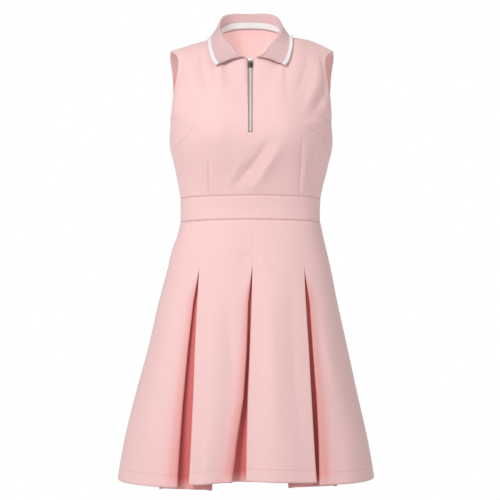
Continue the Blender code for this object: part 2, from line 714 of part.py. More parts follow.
def collar_section(share, side, trees):
    """Middle line from the neck seam up the stand, over the fold and down the leaf."""
    seam, top, shift = stand(share, side)
    edge = np.array([float(read(COLLAR_EDGE, k, "share", share)) for k in "xyz"]) + np.array([shift, 0, 0])
    out = edge - seam
    up = top - seam
    up /= np.linalg.norm(up)
    out = out - up * out.dot(up)
    out /= np.linalg.norm(out)
    radius = min(COLLAR_FOLD_RADIUS, max(1.4, 0.4 * np.linalg.norm(top - seam)))
    centre = top - up * radius + out * radius
    line = [seam + k * (top - up * radius - seam) for k in (0, 0.5)]
    for k in range(FOLD_POINTS):
        turn = math.pi * k / (FOLD_POINTS - 1)
        line.append(centre + radius * (-math.cos(turn) * out + math.sin(turn) * up))
    start = line[-1]
    lift = COLLAR_LIFT_BACK + smooth_step((share - 0.6) / 0.4) * (COLLAR_LIFT_TIP - COLLAR_LIFT_BACK)
    bend = start + (-up * 0.30 + out * 0.12) * np.linalg.norm(edge - start)
    for k in range(1, LEAF_POINTS + 1):
        t = k / LEAF_POINTS
        point = (1 - t) ** 2 * start + 2 * t * (1 - t) * bend + t * t * edge
        point = point * np.array([side, 1, 1])
        point = clear_of(trees, point, CLOTH / 2 + KNIT / 2 + COLLAR_LIFT_BACK + (lift - COLLAR_LIFT_BACK) * t)
        line.append(point * np.array([side, 1, 1]))
    return [p * np.array([side, 1, 1]) for p in line]


def collar(trees):
    stations = [(s, -1) for s in reversed(COLLAR_SHARES)] + [(s, 1) for s in COLLAR_SHARES[1:]]
    lines = np.array([collar_section(s, side, trees) for s, side in stations])
    points = np.transpose(lines, (1, 0, 2))
    return cloth("collar", points[:, ::-1], KNIT, PINK_KNIT), points


def neck_tape():
    """Tape on the inside of the collar's stand, from shoulder to shoulder round the back."""
    shares = [s for s in COLLAR_SHARES if s <= NECK_TAPE_END]
    lines = []
    for share, side in [(s, -1) for s in reversed(shares)] + [(s, 1) for s in shares[1:]]:
        seam, top, _ = stand(share, side)
        length = np.linalg.norm(top - seam)
        up = (top - seam) / length
        width = min(NECK_TAPE_WIDTH, 0.62 * length)
        lines.append([(seam + up * (NECK_TAPE_BOTTOM + width * k)) * np.array([side, 1, 1]) for k in (0.0, 0.5, 1.0)])
    points = np.transpose(np.array(lines), (1, 0, 2))
    points += grid_normals(points) * (KNIT / 2 + TAPE_CLOTH / 2 + SEAM_GAP)
    return cloth("neck_tape", points, TAPE_CLOTH, WHITE_TAPE)


# Zip

def chest_line(z, x=0.0):
    """Point of the front's middle surface at a height and a small distance from the centre, with the unit ways
    down and out. It follows the same flat facets as the front."""
    heights = np.array([h for h in FRONT_HEIGHTS if h > 0.5])
    columns = [bodice(np.full(len(heights), angle), heights, -1) for angle in FRONT_ANGLES_HALF[:3]]
    columns[0][:, 0] = SLIT_WIDTH / 2
    y, below = (
        np.interp(abs(x), [np.interp(h, c[:, 2], c[:, 0]) for c in columns],
                  [np.interp(h, c[:, 2], c[:, 1]) for c in columns])
        for h in (z, z - 8)
    )
    down = np.array([0.0, below - y, -8.0])
    down /= np.linalg.norm(down)
    return np.array([x, y, z]), down, np.array([0.0, down[2], -down[1]])


def zip_strip(name, width, thickness, inward, top, bottom, finish, columns):
    """A strip down the centre front, inward of the cloth's middle surface, bent at the same heights as it."""
    heights = bodice(np.full(len(FRONT_HEIGHTS), FRONT_ANGLES_HALF[0]), np.array(FRONT_HEIGHTS, float), -1)[:, 2]
    points = []
    for z in [bottom] + [h for h in heights if bottom + 2 < h < top - 2] + [top]:
        line = [chest_line(z, x) for x in np.linspace(-width / 2, width / 2, columns)]
        points.append([place - out * inward for place, _, out in line])
    return cloth(name, np.array(points), thickness, finish)


def box(bm, low, high):
    """A box in a bmesh, between two corners in the zip's own frame: across, down, out."""
    made = bmesh.ops.create_cube(bm, size=1)["verts"]
    low, high = np.array(low), np.array(high)
    for v in made:
        v.co = Vector((low + high) / 2 + np.array(v.co) * (high - low))
    return made


def place_on_zip(name, bm, finish, centre, down, out):
    """Sets a mesh made in the zip's frame (across, down, out) at a point of the chest. Its origin is that point."""
    made = add_object(name, bm, finish)
    for v in made.data.vertices:
        x, d, o = v.co
        v.co = Vector((np.array([x, 0, 0]) + down * d + out * o) * MM)
    made.data.update()
    if np.cross([1, 0, 0], down).dot(out) < 0:
        made.data.flip_normals()
    made.location = Vector(centre * MM)
    return made


def union(target, others):
    for other in others:
        cut = target.modifiers.new("join", "BOOLEAN")
        cut.operation = "UNION"
        cut.object = other
        other.hide_render = True
        other.display_type = "WIRE"


def zip_slider():
    """Slider body over the chain, with the arched bail that carries the pull's rod."""
    place, down, out = chest_line(SLIDER_CENTRE)
    face = CHAIN_THICKNESS - CLOTH / 2 + SEAM_GAP
    top = face + SLIDER_THICKNESS - 1.2
    half = SLIDER_LENGTH / 2
    body = bmesh.new()
    corners = box(body, (-SLIDER_WIDTH / 2, -half, face), (SLIDER_WIDTH / 2, half, top))
    for v in corners:
        if v.co.y > 0:
            v.co.x *= 0.74
    bmesh.ops.bevel(
        body, geom=body.edges[:], offset=0.35, segments=1, profile=0.5, affect="EDGES", material=-1,
    )
    slider = place_on_zip("zip_slider", body, ZIP_SILVER, place, down, out)
    foot, tunnel, strap = 0.5, 2.0, 0.8
    parts = []
    for i, (low, high) in enumerate((
        ((-BAIL_WIDTH / 2, half - 5.6, top - foot), (BAIL_WIDTH / 2, half - 4.6, top + tunnel + strap)),
        ((-BAIL_WIDTH / 2, half - 1.6, top - foot), (BAIL_WIDTH / 2, half - 0.6, top + tunnel + strap)),
        ((-BAIL_WIDTH / 2, half - 5.2, top + tunnel), (BAIL_WIDTH / 2, half - 1.0, top + tunnel + strap)),
    )):
        bm = bmesh.new()
        box(bm, low, high)
        parts.append(place_on_zip(f"bail_{i}", bm, ZIP_SILVER, place, down, out))
    union(slider, parts)
    pivot = place + down * (half - 3.1) + out * (top + tunnel / 2)
    return slider, pivot


def zip_pull(pivot):
    """Pull tab: a plate with a window, whose top rod turns inside the bail."""
    _, along, away = chest_line(SLIDER_CENTRE)
    tilt = math.radians(PULL_TILT)
    down = along * math.cos(tilt) - away * math.sin(tilt)
    out = away * math.cos(tilt) + along * math.sin(tilt)
    half, window = PULL_WIDTH / 2, BAIL_WIDTH / 2 + 0.7
    rod = bmesh.new()
    bmesh.ops.create_cone(
        rod, cap_ends=True, cap_tris=False, segments=8,
        radius1=PULL_ROD_RADIUS, radius2=PULL_ROD_RADIUS, depth=PULL_WIDTH,
    )
    for v in rod.verts:
        v.co = Vector((v.co.z, v.co.x, v.co.y))
    pull = place_on_zip("zip_pull", rod, PULL_GREY, pivot, down, out)
    thick = PULL_THICKNESS / 2
    parts = []
    for i, (low, high) in enumerate((
        ((-half, 0.0, -PULL_ROD_RADIUS), (-window, 4.6, PULL_ROD_RADIUS)),
        ((window, 0.0, -PULL_ROD_RADIUS), (half, 4.6, PULL_ROD_RADIUS)),
        ((-half, 4.2, -thick), (half, PULL_LENGTH, thick)),
    )):
        bm = bmesh.new()
        box(bm, low, high)
        if i == 2:
            far = [e for e in bm.edges if all(v.co.y > PULL_LENGTH - 0.1 for v in e.verts)]
            ends = [e for e in far if abs(e.verts[0].co.z - e.verts[1].co.z) > 0.1]
            bmesh.ops.bevel(bm, geom=ends, offset=2.2, segments=3, profile=0.5, affect="EDGES", material=-1)
        parts.append(place_on_zip(f"pull_{i}", bm, PULL_GREY, pivot, down, out))
    union(pull, parts)
    return pull


def main():
    for old in list(bpy.data.objects):
        bpy.data.objects.remove(old)
    _, front = front_bodice()
    _, back = back_bodice()
    waistband("waistband_front", -1)
    waistband("waistband_back", 1)
    skirt("skirt_front", FRONT_PLEATS, FRONT_PANELS, -1)
    skirt("skirt_back", BACK_PLEATS, BACK_PANELS, 1)
    trees = [surface_tree(front), surface_tree(back)]
    collar(trees)
    neck_tape()
    tape_in = CLOTH / 2 + SEAM_GAP + 0.1 + TAPE_CLOTH / 2
    zip_strip("zip_tape", ZIP_TAPE_WIDTH, TAPE_CLOTH, tape_in, -37.0, ZIP_BOTTOM - 12, ZIP_CLOTH, 7)
    chain_in = tape_in - TAPE_CLOTH / 2 - SEAM_GAP - CHAIN_THICKNESS / 2
    zip_strip("zip_chain", CHAIN_WIDTH, CHAIN_THICKNESS, chain_in, -31.0, ZIP_BOTTOM + 2, ZIP_SILVER, 3)
    _, pivot = zip_slider()
    zip_pull(pivot)
    print("pull pivot, metres:", [round(float(v) * MM, 5) for v in pivot])


main()
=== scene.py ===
import math

import bmesh
import bpy
import numpy as np
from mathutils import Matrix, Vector, noise
from mathutils.bvhtree import BVHTree


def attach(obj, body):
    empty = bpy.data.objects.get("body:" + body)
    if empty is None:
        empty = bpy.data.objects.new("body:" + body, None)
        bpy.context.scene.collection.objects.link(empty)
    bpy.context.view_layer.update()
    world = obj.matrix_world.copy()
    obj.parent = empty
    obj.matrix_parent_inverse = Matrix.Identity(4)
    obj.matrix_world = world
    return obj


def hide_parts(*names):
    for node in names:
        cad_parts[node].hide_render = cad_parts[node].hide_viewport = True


# Sleeveless polo dress, filled out as it is worn. Metres in the scene, millimetres in the settings.
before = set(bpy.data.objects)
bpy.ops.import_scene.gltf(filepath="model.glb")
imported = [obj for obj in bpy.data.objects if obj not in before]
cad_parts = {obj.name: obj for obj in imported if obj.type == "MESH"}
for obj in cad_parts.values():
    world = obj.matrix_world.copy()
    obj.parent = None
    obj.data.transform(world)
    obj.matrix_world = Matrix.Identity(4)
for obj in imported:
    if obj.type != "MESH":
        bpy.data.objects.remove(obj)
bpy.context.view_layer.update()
mm = 0.001
print("frame loaded")


# Form of the dress

sections = {
    "bodice": {
        "z": (-358, -330, -306, -282, -258, -234, -210, -186, -168, -150, -130),
        "right": (139.5, 139.0, 139.8, 143.5, 148.0, 153.5, 159.5, 161.0, 160.0, 159.0, 158.5),
        "left": (139.0, 138.0, 139.5, 144.0, 150.5, 156.0, 162.0, 163.5, 162.0, 161.0, 160.0),
        "front": (95, 93, 95, 101, 109, 118, 124, 127, 126, 122, 115),
        "back": (88, 85, 85, 87, 92, 97, 101, 103, 104, 105, 105),
    },
    "skirt": {
        "z": (-353, -378, -410, -442, -506, -602, -698, -794, -870),
        "right": (139.5, 145.0, 156.5, 164.0, 181.0, 203.0, 229.0, 252.0, 265.0),
        "left": (139.0, 144.0, 151.5, 159.0, 171.5, 192.5, 213.0, 234.0, 247.0),
        "front": (95, 99, 105, 111, 123, 140, 157, 173, 184),
        "back": (88, 96, 105, 113, 127, 144, 160, 175, 185),
    },
}

form = {
    "waistTop": -306.0, "waistBottom": -353.0, "waistArch": 4.0, "underarm": -150.0,
    "shoulderShift": {-1: 0.0, 1: 5.5}, "shoulderBow": {-1: 1.0, 1: 8.5},
    "neckAngle": 26.0, "diagonalFullness": 0.05, "seamGap": 0.3,
    "bustX": 74.0, "bustZ": -176.0, "bustHeight": 7.0,
    "bustSpreadX": 44.0, "bustSpreadAbove": 60.0, "bustSpreadBelow": 44.0,
    "shoulderTip": (160.0, 4.0, -12.0),
}

neckSeam = {
    "share": (0.00, 0.20, 0.35, 0.50, 0.62, 0.75, 0.87, 0.95, 1.00),
    "x": (0.0, 33.0, 54.0, 66.0, 65.0, 57.0, 40.0, 22.0, 0.0),
    "y": (62.0, 57.0, 38.0, 4.0, -17.0, -38.0, -56.0, -64.5, -68.5),
    "z": (38.0, 35.5, 28.0, 16.0, 8.0, -6.0, -20.0, -29.0, -34.0),
}

armhole = {
    -1: {
        "share": (0.00, 0.05, 0.12, 0.20, 0.30, 0.42, 0.54, 0.65, 0.75, 0.84, 0.92, 1.00),
        "x": (160.0, 160.0, 158.5, 156.5, 154.5, 151.5, 148.0, 145.0, 143.5, 144.0, 149.0, 160.0),
        "y": (0.0, -13.0, -26.0, -35.0, -41.0, -44.0, -44.5, -41.5, -35.5, -27.0, -14.0, 4.0),
        "z": (-150.0, -148.5, -141.0, -129.0, -113.0, -94.0, -76.0, -59.0, -44.0, -31.0, -20.0, -12.0),
    },
    1: {
        "share": (0.00, 0.06, 0.13, 0.22, 0.35, 0.50, 0.65, 0.78, 0.90, 1.00),
        "x": (160.0, 159.5, 158.0, 156.5, 156.0, 156.5, 157.5, 159.5, 161.5, 160.0),
        "y": (0.0, 14.0, 24.0, 31.0, 35.5, 36.5, 33.5, 27.5, 17.0, 4.0),
        "z": (-150.0, -148.5, -141.0, -128.0, -108.0, -84.0, -61.0, -43.0, -25.0, -12.0),
    },
}

topLean = {  # way in which the cloth reaches its top edge, before (-1) and behind (1)
    -1: {
        "angle": (0, 8, 13, 19, 26, 60, 90),
        "along": (0.40, 0.50, 0.66, 0.84, 0.94, 0.97, 0.98),
        "rise": (0.92, 0.86, 0.74, 0.52, 0.32, 0.22, 0.20),
    },
    1: {
        "angle": (0, 13, 19, 26, 60, 90),
        "along": (0.45, 0.62, 0.82, 0.94, 0.97, 0.98),
        "rise": (0.89, 0.78, 0.56, 0.32, 0.22, 0.20),
    },
}


def through(at, values, where):
    # smooth curve through a column of a table
    at, values = np.asarray(at, float), np.asarray(values, float)
    order = np.argsort(at)
    at, values = at[order], values[order]
    where = np.clip(np.asarray(where, float), at[0], at[-1])
    slope = np.gradient(values, at)
    i = np.clip(np.searchsorted(at, where) - 1, 0, len(at) - 2)
    step = at[i + 1] - at[i]
    t = (where - at[i]) / step
    start = values[i] * (2 * t**3 - 3 * t**2 + 1) + values[i + 1] * (3 * t**2 - 2 * t**3)
    return start + step * (slope[i] * (t**3 - 2 * t**2 + t) + slope[i + 1] * (t**3 - t**2))


def read(table, name, key, where):
    return through(table[key], table[name], where)


def readPoint(table, where):
    return np.stack([read(table, k, "share", where) for k in "xyz"], axis=-1)


def smoothStep(t):
    t = np.clip(t, 0.0, 1.0)
    return t * t * (3 - 2 * t)


def torso(angle, z, facing):
    # point on the horizontal section at z: 0 degrees at the centre, 90 at the wearer's left side seam
    angle, z = np.broadcast_arrays(np.asarray(angle, float), np.asarray(z, float))
    table = sections["bodice"]
    a = np.radians(angle)
    half = np.where(a < 0, read(table, "right", "z", z), read(table, "left", "z", z))
    depth = read(table, "front" if facing < 0 else "back", "z", z)
    full = 1 + form["diagonalFullness"] * np.sin(2 * a) ** 2
    x, y = half * np.sin(a) * full, depth * np.cos(a) * full
    if facing < 0:
        spread = np.where(z > form["bustZ"], form["bustSpreadAbove"], form["bustSpreadBelow"])
        across, up = (np.abs(x) - form["bustX"]) / form["bustSpreadX"], (z - form["bustZ"]) / spread
        y = y + form["bustHeight"] * np.exp(-(across**2) - up**2)
    return np.stack([x, facing * y, z], axis=-1)


def topEdge(angle, facing):
    size = np.abs(np.asarray(angle, float))
    share = 0.5 * np.clip(size / form["neckAngle"], 0, 1)
    neck = readPoint(neckSeam, share if facing > 0 else 1 - share)
    out = np.clip((size - form["neckAngle"]) / (90 - form["neckAngle"]), 0, 1)
    point = neck + out[..., None] * (np.array(form["shoulderTip"]) - readPoint(neckSeam, np.array(0.5)))
    point = point * np.stack([np.sign(angle), np.ones_like(size), np.ones_like(size)], axis=-1)
    right = np.asarray(angle) < 0
    point[..., 0] += np.where(right, form["shoulderShift"][-1], form["shoulderShift"][1]) * out
    point[..., 2] += np.where(right, form["shoulderBow"][-1], form["shoulderBow"][1]) * np.sin(math.pi * out)
    return point


def upper(angle, share, facing):
    # columns that leave the underarm section upright and roll over to the top edge
    angle, share = np.broadcast_arrays(np.asarray(angle, float), np.asarray(share, float))
    bottom = torso(angle, np.full_like(angle, form["underarm"]), facing)
    top = topEdge(angle, facing)
    rise = torso(angle, np.full_like(angle, form["underarm"] + 1), facing) - bottom
    length = np.linalg.norm(top - bottom, axis=-1)[..., None]
    along = read(topLean[facing], "along", "angle", np.abs(angle))
    up = read(topLean[facing], "rise", "angle", np.abs(angle))
    arrive = np.stack([np.zeros_like(along), -facing * along, up], axis=-1)
    t = share[..., None]
    return (
        bottom * (2 * t**3 - 3 * t**2 + 1) + top * (3 * t**2 - 2 * t**3)
        + length * (rise * (t**3 - 2 * t**2 + t) + arrive * (t**3 - t**2))
    )


def armholeEdge(side, share, facing):
    table = armhole[facing]
    edge = readPoint(table, share)
    half = torso(np.array(90.0 * side), np.array(form["underarm"]), facing)[0]
    scale = 1 + (abs(half) / table["x"][0] - 1) * (1 - share)
    shift = form["shoulderShift"][side]
    edge[..., 0] = edge[..., 0] * side * scale + shift * np.sqrt(share) * smoothStep(share / 0.2)
    return edge


def bodice(angle, height, facing):
    # height runs from 0 at the waist seam over 1 at the underarm to 2 at the top edge
    angle, height = np.broadcast_arrays(np.asarray(angle, float), np.asarray(height, float))
    seam = form["waistTop"] + (form["waistArch"] * np.cos(np.radians(angle)) ** 2 if facing < 0 else 0.0)
    z = seam + (form["underarm"] - seam) * np.clip(height, 0, 1)
    low = torso(angle, z, facing)
    share = np.clip(height - 1, 0, 1)
    high = upper(angle, share, facing)
    for side in (-1, 1):
        pull = armholeEdge(side, share, facing) - upper(np.full_like(angle, 90.0 * side), share, facing)
        weight = np.where(np.where(angle < 0, -1, 1) == side, smoothStep((np.abs(angle) - 38) / 52), 0.0)
        high = high + weight[..., None] * pull
    return np.where((height <= 1)[..., None], low, high)


def outward(point):
    way = np.stack([point[..., 0] * 0.6, point[..., 1], np.zeros(point.shape[:-1])], axis=-1)
    return way / np.maximum(np.linalg.norm(way, axis=-1, keepdims=True), 1e-6)


# Creases, given where the camera sees them: picture millimetres from the middle of the frame

camera = {"distance": 4000.0, "height": -409.0, "x": -1.0, "view": 1000.0}


def seen(point):
    away = camera["distance"] / (camera["distance"] + point[..., 1])
    return (point[..., 0] - camera["x"]) * away, (point[..., 2] - camera["height"]) * away


def softCreases(point, table, facing):
    # each crease runs down or to the right through three points, and has its own width on either side
    px, pz = seen(point)
    if facing > 0:
        px, pz = point[..., 0], point[..., 2] - camera["height"]
    push = np.zeros(px.shape)
    t = np.linspace(0, 1, 17)
    for start, middle, end, left, right, height in table:
        line = [((1 - t) ** 2 * a + 2 * t * (1 - t) * (2 * b - (a + c) / 2) + t**2 * c)
                for a, b, c in zip(start, middle, end)]
        best = np.full(px.shape, 1e9)
        beside, along = np.zeros(px.shape), np.zeros(px.shape)
        for k in range(16):
            x0, z0, x1, z1 = line[0][k], line[1][k], line[0][k + 1], line[1][k + 1]
            length = math.hypot(x1 - x0, z1 - z0)
            wx, wz = (x1 - x0) / length, (z1 - z0) / length
            dx, dz = px - x0, pz - z0
            s = np.clip((dx * wx + dz * wz) / length, 0, 1)
            ox, oz = dx - s * length * wx, dz - s * length * wz
            gap = np.hypot(ox, oz)
            near = gap < best
            side = np.sign(dz * wx - dx * wz)
            best = np.where(near, gap, best)
            beside = np.where(near, gap * side, beside)
            along = np.where(near, (k + s) / 16, along)
        width = np.where(beside < 0, left, right)
        fading = np.sin(math.pi * np.clip(along, 0.02, 0.98)) ** 0.8
        push += height * fading * np.exp(-(np.abs(beside / width) ** 1.6))
    return push


def ripples(point, size, height, seed):
    # slight unevenness of hanging cloth
    flat = point.reshape(-1, 3)
    values = [noise.noise(Vector((p[0] / size + seed, p[1] / size, p[2] / (size * 1.8)))) for p in flat]
    return np.array(values).reshape(point.shape[:-1]) * height


# Sheets of cloth

def gridNormals(points):
    normal = np.cross(np.gradient(points, axis=1), np.gradient(points, axis=0))
    return normal / np.maximum(np.linalg.norm(normal, axis=-1, keepdims=True), 1e-9)


def lengthsAlong(points, axis):
    step = np.linalg.norm(np.diff(points, axis=axis), axis=-1)
    start = np.zeros_like(np.take(step, [0], axis=axis))
    return np.concatenate([start, np.cumsum(step, axis=axis)], axis=axis)


def newPiece(name, bm, material):
    mesh = bpy.data.meshes.new(name)
    bm.to_mesh(mesh)
    bm.free()
    mesh.shade_smooth()
    mesh.materials.append(material)
    made = bpy.data.objects.new(name, mesh)
    bpy.context.scene.collection.objects.link(made)
    return made


def clothSheet(name, points, material, thickness, values=None, leaveOut=None, welds=()):
    # sheet of woven or knitted cloth on a grid of points[row][column], with its UV map in metres of cloth
    rows, columns = points.shape[:2]
    bm = bmesh.new()
    bmesh.ops.create_grid(bm, x_segments=columns - 1, y_segments=rows - 1, size=1)
    across, up = lengthsAlong(points, 1), lengthsAlong(points, 0)
    across = across - across[:, columns // 2][:, None]
    uvLayer = bm.loops.layers.uv.new("cloth")
    layers = {k: bm.verts.layers.float.new(k) for k in (values or {})}
    cell = {}
    for v in bm.verts:
        r, c = round((v.co.y + 1) / 2 * (rows - 1)), round((v.co.x + 1) / 2 * (columns - 1))
        cell[v] = (r, c)
        v.co = Vector(points[r, c] * mm)
        for k, layer in layers.items():
            v[layer] = float(values[k][r, c])
    for f in bm.faces:
        for loop in f.loops:
            r, c = cell[loop.vert]
            loop[uvLayer].uv = (across[r, c] * mm, up[r, c] * mm)
    if leaveOut:
        gone = [f for f in bm.faces if leaveOut(*[min(cell[v][k] for v in f.verts) for k in (0, 1)])]
        bmesh.ops.delete(bm, geom=gone, context="FACES")
    if welds:
        at = {cell[v]: v for v in bm.verts}
        bmesh.ops.weld_verts(bm, targetmap={at[a]: at[b] for a, b in welds})
    made = newPiece(name, bm, material)
    wall = made.modifiers.new("wall", "SOLIDIFY")
    wall.thickness = thickness * mm
    wall.offset = 0.0
    wall.use_even_offset = False
    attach(made, "dress")
    return made


# Materials

def newMaterial(name):
    made = bpy.data.materials.new(name)
    made.use_nodes = True
    tree = made.node_tree
    shader = tree.nodes["Principled BSDF"]
    return made, tree, shader


def addNode(tree, kind, **settings):
    node = tree.nodes.new(kind)
    for key, value in settings.items():
        setattr(node, key, value)
    return node


def feed(tree, socket, value):
    # a socket is linked; a colour or another fixed value is set
    if isinstance(value, bpy.types.NodeSocket):
        tree.links.new(value, socket)
    elif socket.type == "RGBA":
        socket.default_value = (*value, 1)
    else:
        socket.default_value = value


def mathNode(tree, operation, a, b=None, c=None, clamp=False):
    node = addNode(tree, "ShaderNodeMath", operation=operation, use_clamp=clamp)
    for socket, value in zip(node.inputs, (a, b, c)):
        if value is not None:
            feed(tree, socket, value)
    return node.outputs[0]


def mixColours(tree, factor, first, second):
    node = addNode(tree, "ShaderNodeMix", data_type="RGBA")
    for key, value in (("Factor", factor), ("A", first), ("B", second)):
        feed(tree, node.inputs[key], value)
    return node.outputs["Result"]


def tonedColour(tree, colour, value):
    node = addNode(tree, "ShaderNodeHueSaturation")
    feed(tree, node.inputs["Color"], colour)
    feed(tree, node.inputs["Value"], value)
    return node.outputs[0]


def addNoise(tree, vector, scale, detail=2.0, roughness=0.5):
    node = addNode(tree, "ShaderNodeTexNoise")
    for key, value in (("Vector", vector), ("Scale", scale), ("Detail", detail), ("Roughness", roughness)):
        feed(tree, node.inputs[key], value)
    return node.outputs["Fac"]


def addBump(tree, shader, height, distance):
    node = addNode(tree, "ShaderNodeBump")
    for key, value in (("Strength", 1.0), ("Distance", distance), ("Height", height)):
        feed(tree, node.inputs[key], value)
    tree.links.new(node.outputs[0], shader.inputs["Normal"])


def attribute(tree, name):
    return addNode(tree, "ShaderNodeAttribute", attribute_name=name).outputs["Fac"]


def newGroup(name, inputs, outputs):
    tree = bpy.data.node_groups.new(name, "ShaderNodeTree")
    for label, kind, value in inputs:
        socket = tree.interface.new_socket(name=label, in_out="INPUT", socket_type=kind)
        if value is not None:
            socket.default_value = value
    for label, kind in outputs:
        tree.interface.new_socket(name=label, in_out="OUTPUT", socket_type=kind)
    return tree, tree.nodes.new("NodeGroupInput"), tree.nodes.new("NodeGroupOutput")


def placeGroup(tree, group, **values):
    node = addNode(tree, "ShaderNodeGroup", node_tree=group)
    for key, value in values.items():
        feed(tree, node.inputs[key], value)
    return node


def makeWeave():
    # plain weave: crossing threads with slight slubs, on the cloth's own UV map
    tree, source, result = newGroup(
        "weave",
        [("Vector", "NodeSocketVector", None), ("Thread", "NodeSocketFloat", 0.0004),
         ("Slub", "NodeSocketFloat", 0.5)],
        [("Height", "NodeSocketFloat"), ("Tone", "NodeSocketFloat")],
    )
    split = addNode(tree, "ShaderNodeSeparateXYZ")
    tree.links.new(source.outputs["Vector"], split.inputs[0])
    turns = mathNode(tree, "DIVIDE", math.pi, source.outputs["Thread"])
    waves = []
    for axis in (0, 1):
        phase = mathNode(tree, "MULTIPLY", split.outputs[axis], turns)
        waves.append(mathNode(tree, "SINE", phase))
    crossing = mathNode(tree, "MULTIPLY", waves[0], waves[1])
    height = mathNode(tree, "MULTIPLY_ADD", crossing, 0.5, 0.5)
    stretched = addNode(tree, "ShaderNodeMapping")
    stretched.inputs["Scale"].default_value = (60.0, 900.0, 1.0)
    tree.links.new(source.outputs["Vector"], stretched.inputs["Vector"])
    slub = addNoise(tree, stretched.outputs[0], 1.0, 3.0)
    tone = mathNode(tree, "MULTIPLY", mathNode(tree, "SUBTRACT", slub, 0.5), source.outputs["Slub"])
    tree.links.new(height, result.inputs["Height"])
    tree.links.new(tone, result.inputs["Tone"])
    return tree


def makeStitches():
    # a row of machine stitches at one distance from an edge
    tree, source, result = newGroup(
        "stitches",
        [("Distance", "NodeSocketFloat", 0.0), ("Along", "NodeSocketFloat", 0.0),
         ("Offset", "NodeSocketFloat", 24.0), ("Length", "NodeSocketFloat", 3.0), ("Width", "NodeSocketFloat", 0.45)],
        [("Thread", "NodeSocketFloat"), ("Groove", "NodeSocketFloat")],
    )
    away = mathNode(tree, "SUBTRACT", source.outputs["Distance"], source.outputs["Offset"])
    away = mathNode(tree, "ABSOLUTE", away)
    share = mathNode(tree, "DIVIDE", away, source.outputs["Width"])
    line = mathNode(tree, "SUBTRACT", 1.0, share, clamp=True)
    part = mathNode(tree, "FRACT", mathNode(tree, "DIVIDE", source.outputs["Along"], source.outputs["Length"]))
    middle = mathNode(tree, "ABSOLUTE", mathNode(tree, "SUBTRACT", part, 0.5))
    lies = mathNode(tree, "MULTIPLY", mathNode(tree, "SUBTRACT", 0.4, middle), 8.0)
    lies = mathNode(tree, "SMOOTH_MIN", lies, 1.0, 0.1)
    thread = mathNode(tree, "MULTIPLY", line, mathNode(tree, "MAXIMUM", lies, 0.0), clamp=True)
    wide = mathNode(tree, "DIVIDE", share, 4.0)
    groove = mathNode(tree, "SUBTRACT", 1.0, wide, clamp=True)
    tree.links.new(thread, result.inputs["Thread"])
    tree.links.new(groove, result.inputs["Groove"])
    return tree


def makeSeamLine():
    # distance to a straight stretch of seam, looked at from the front
    tree, source, result = newGroup(
        "seam line",
        [("Vector", "NodeSocketVector", None), ("Start", "NodeSocketVector", None),
         ("End", "NodeSocketVector", None), ("Width", "NodeSocketFloat", 0.0005)],
        [("Line", "NodeSocketFloat"), ("Groove", "NodeSocketFloat")],
    )

    def vectorNode(operation, *values):
        node = addNode(tree, "ShaderNodeVectorMath", operation=operation)
        for socket, value in zip(node.inputs, values):
            feed(tree, socket, value)
        return node

    run, way = (
        vectorNode("MULTIPLY", vectorNode("SUBTRACT", source.outputs[key], source.outputs["Start"]).outputs[0],
                   (1.0, 0.0, 1.0))
        for key in ("End", "Vector")
    )
    share = mathNode(
        tree, "DIVIDE",
        vectorNode("DOT_PRODUCT", way.outputs[0], run.outputs[0]).outputs["Value"],
        vectorNode("DOT_PRODUCT", run.outputs[0], run.outputs[0]).outputs["Value"], clamp=True,
    )
    foot = addNode(tree, "ShaderNodeVectorMath", operation="SCALE")
    tree.links.new(run.outputs[0], foot.inputs[0])
    tree.links.new(share, foot.inputs["Scale"])
    away = vectorNode("LENGTH", vectorNode("SUBTRACT", way.outputs[0], foot.outputs[0]).outputs[0]).outputs["Value"]
    near = mathNode(tree, "DIVIDE", away, source.outputs["Width"])
    tree.links.new(mathNode(tree, "SUBTRACT", 1.0, near, clamp=True), result.inputs["Line"])
    tree.links.new(mathNode(tree, "SUBTRACT", 1.0, mathNode(tree, "DIVIDE", near, 4.0), clamp=True),
                   result.inputs["Groove"])
    return tree


# The second colour below is a saturated coral used as painted shade: it is mixed into the pleat hollows, the stitch
# grooves and the dart seam lines.
pinkFinish = {
    "colour": (0.80, 0.525, 0.512), "paintedShade": (0.70, 0.16, 0.15), "thread": 0.00042, "roughness": 0.62,
    "sheen": 0.25, "weaveBump": 0.00006, "crumpleBump": 0.0006,
    "slub": 0.10, "unevenness": (0.975, 1.03), "unevenScale": 9.0, "crumpleScale": 34.0,
    "hemStitches": 24.0, "stitchRise": 0.00022, "stitchGroove": -0.00035, "stitchGrooveShade": 0.16,
}


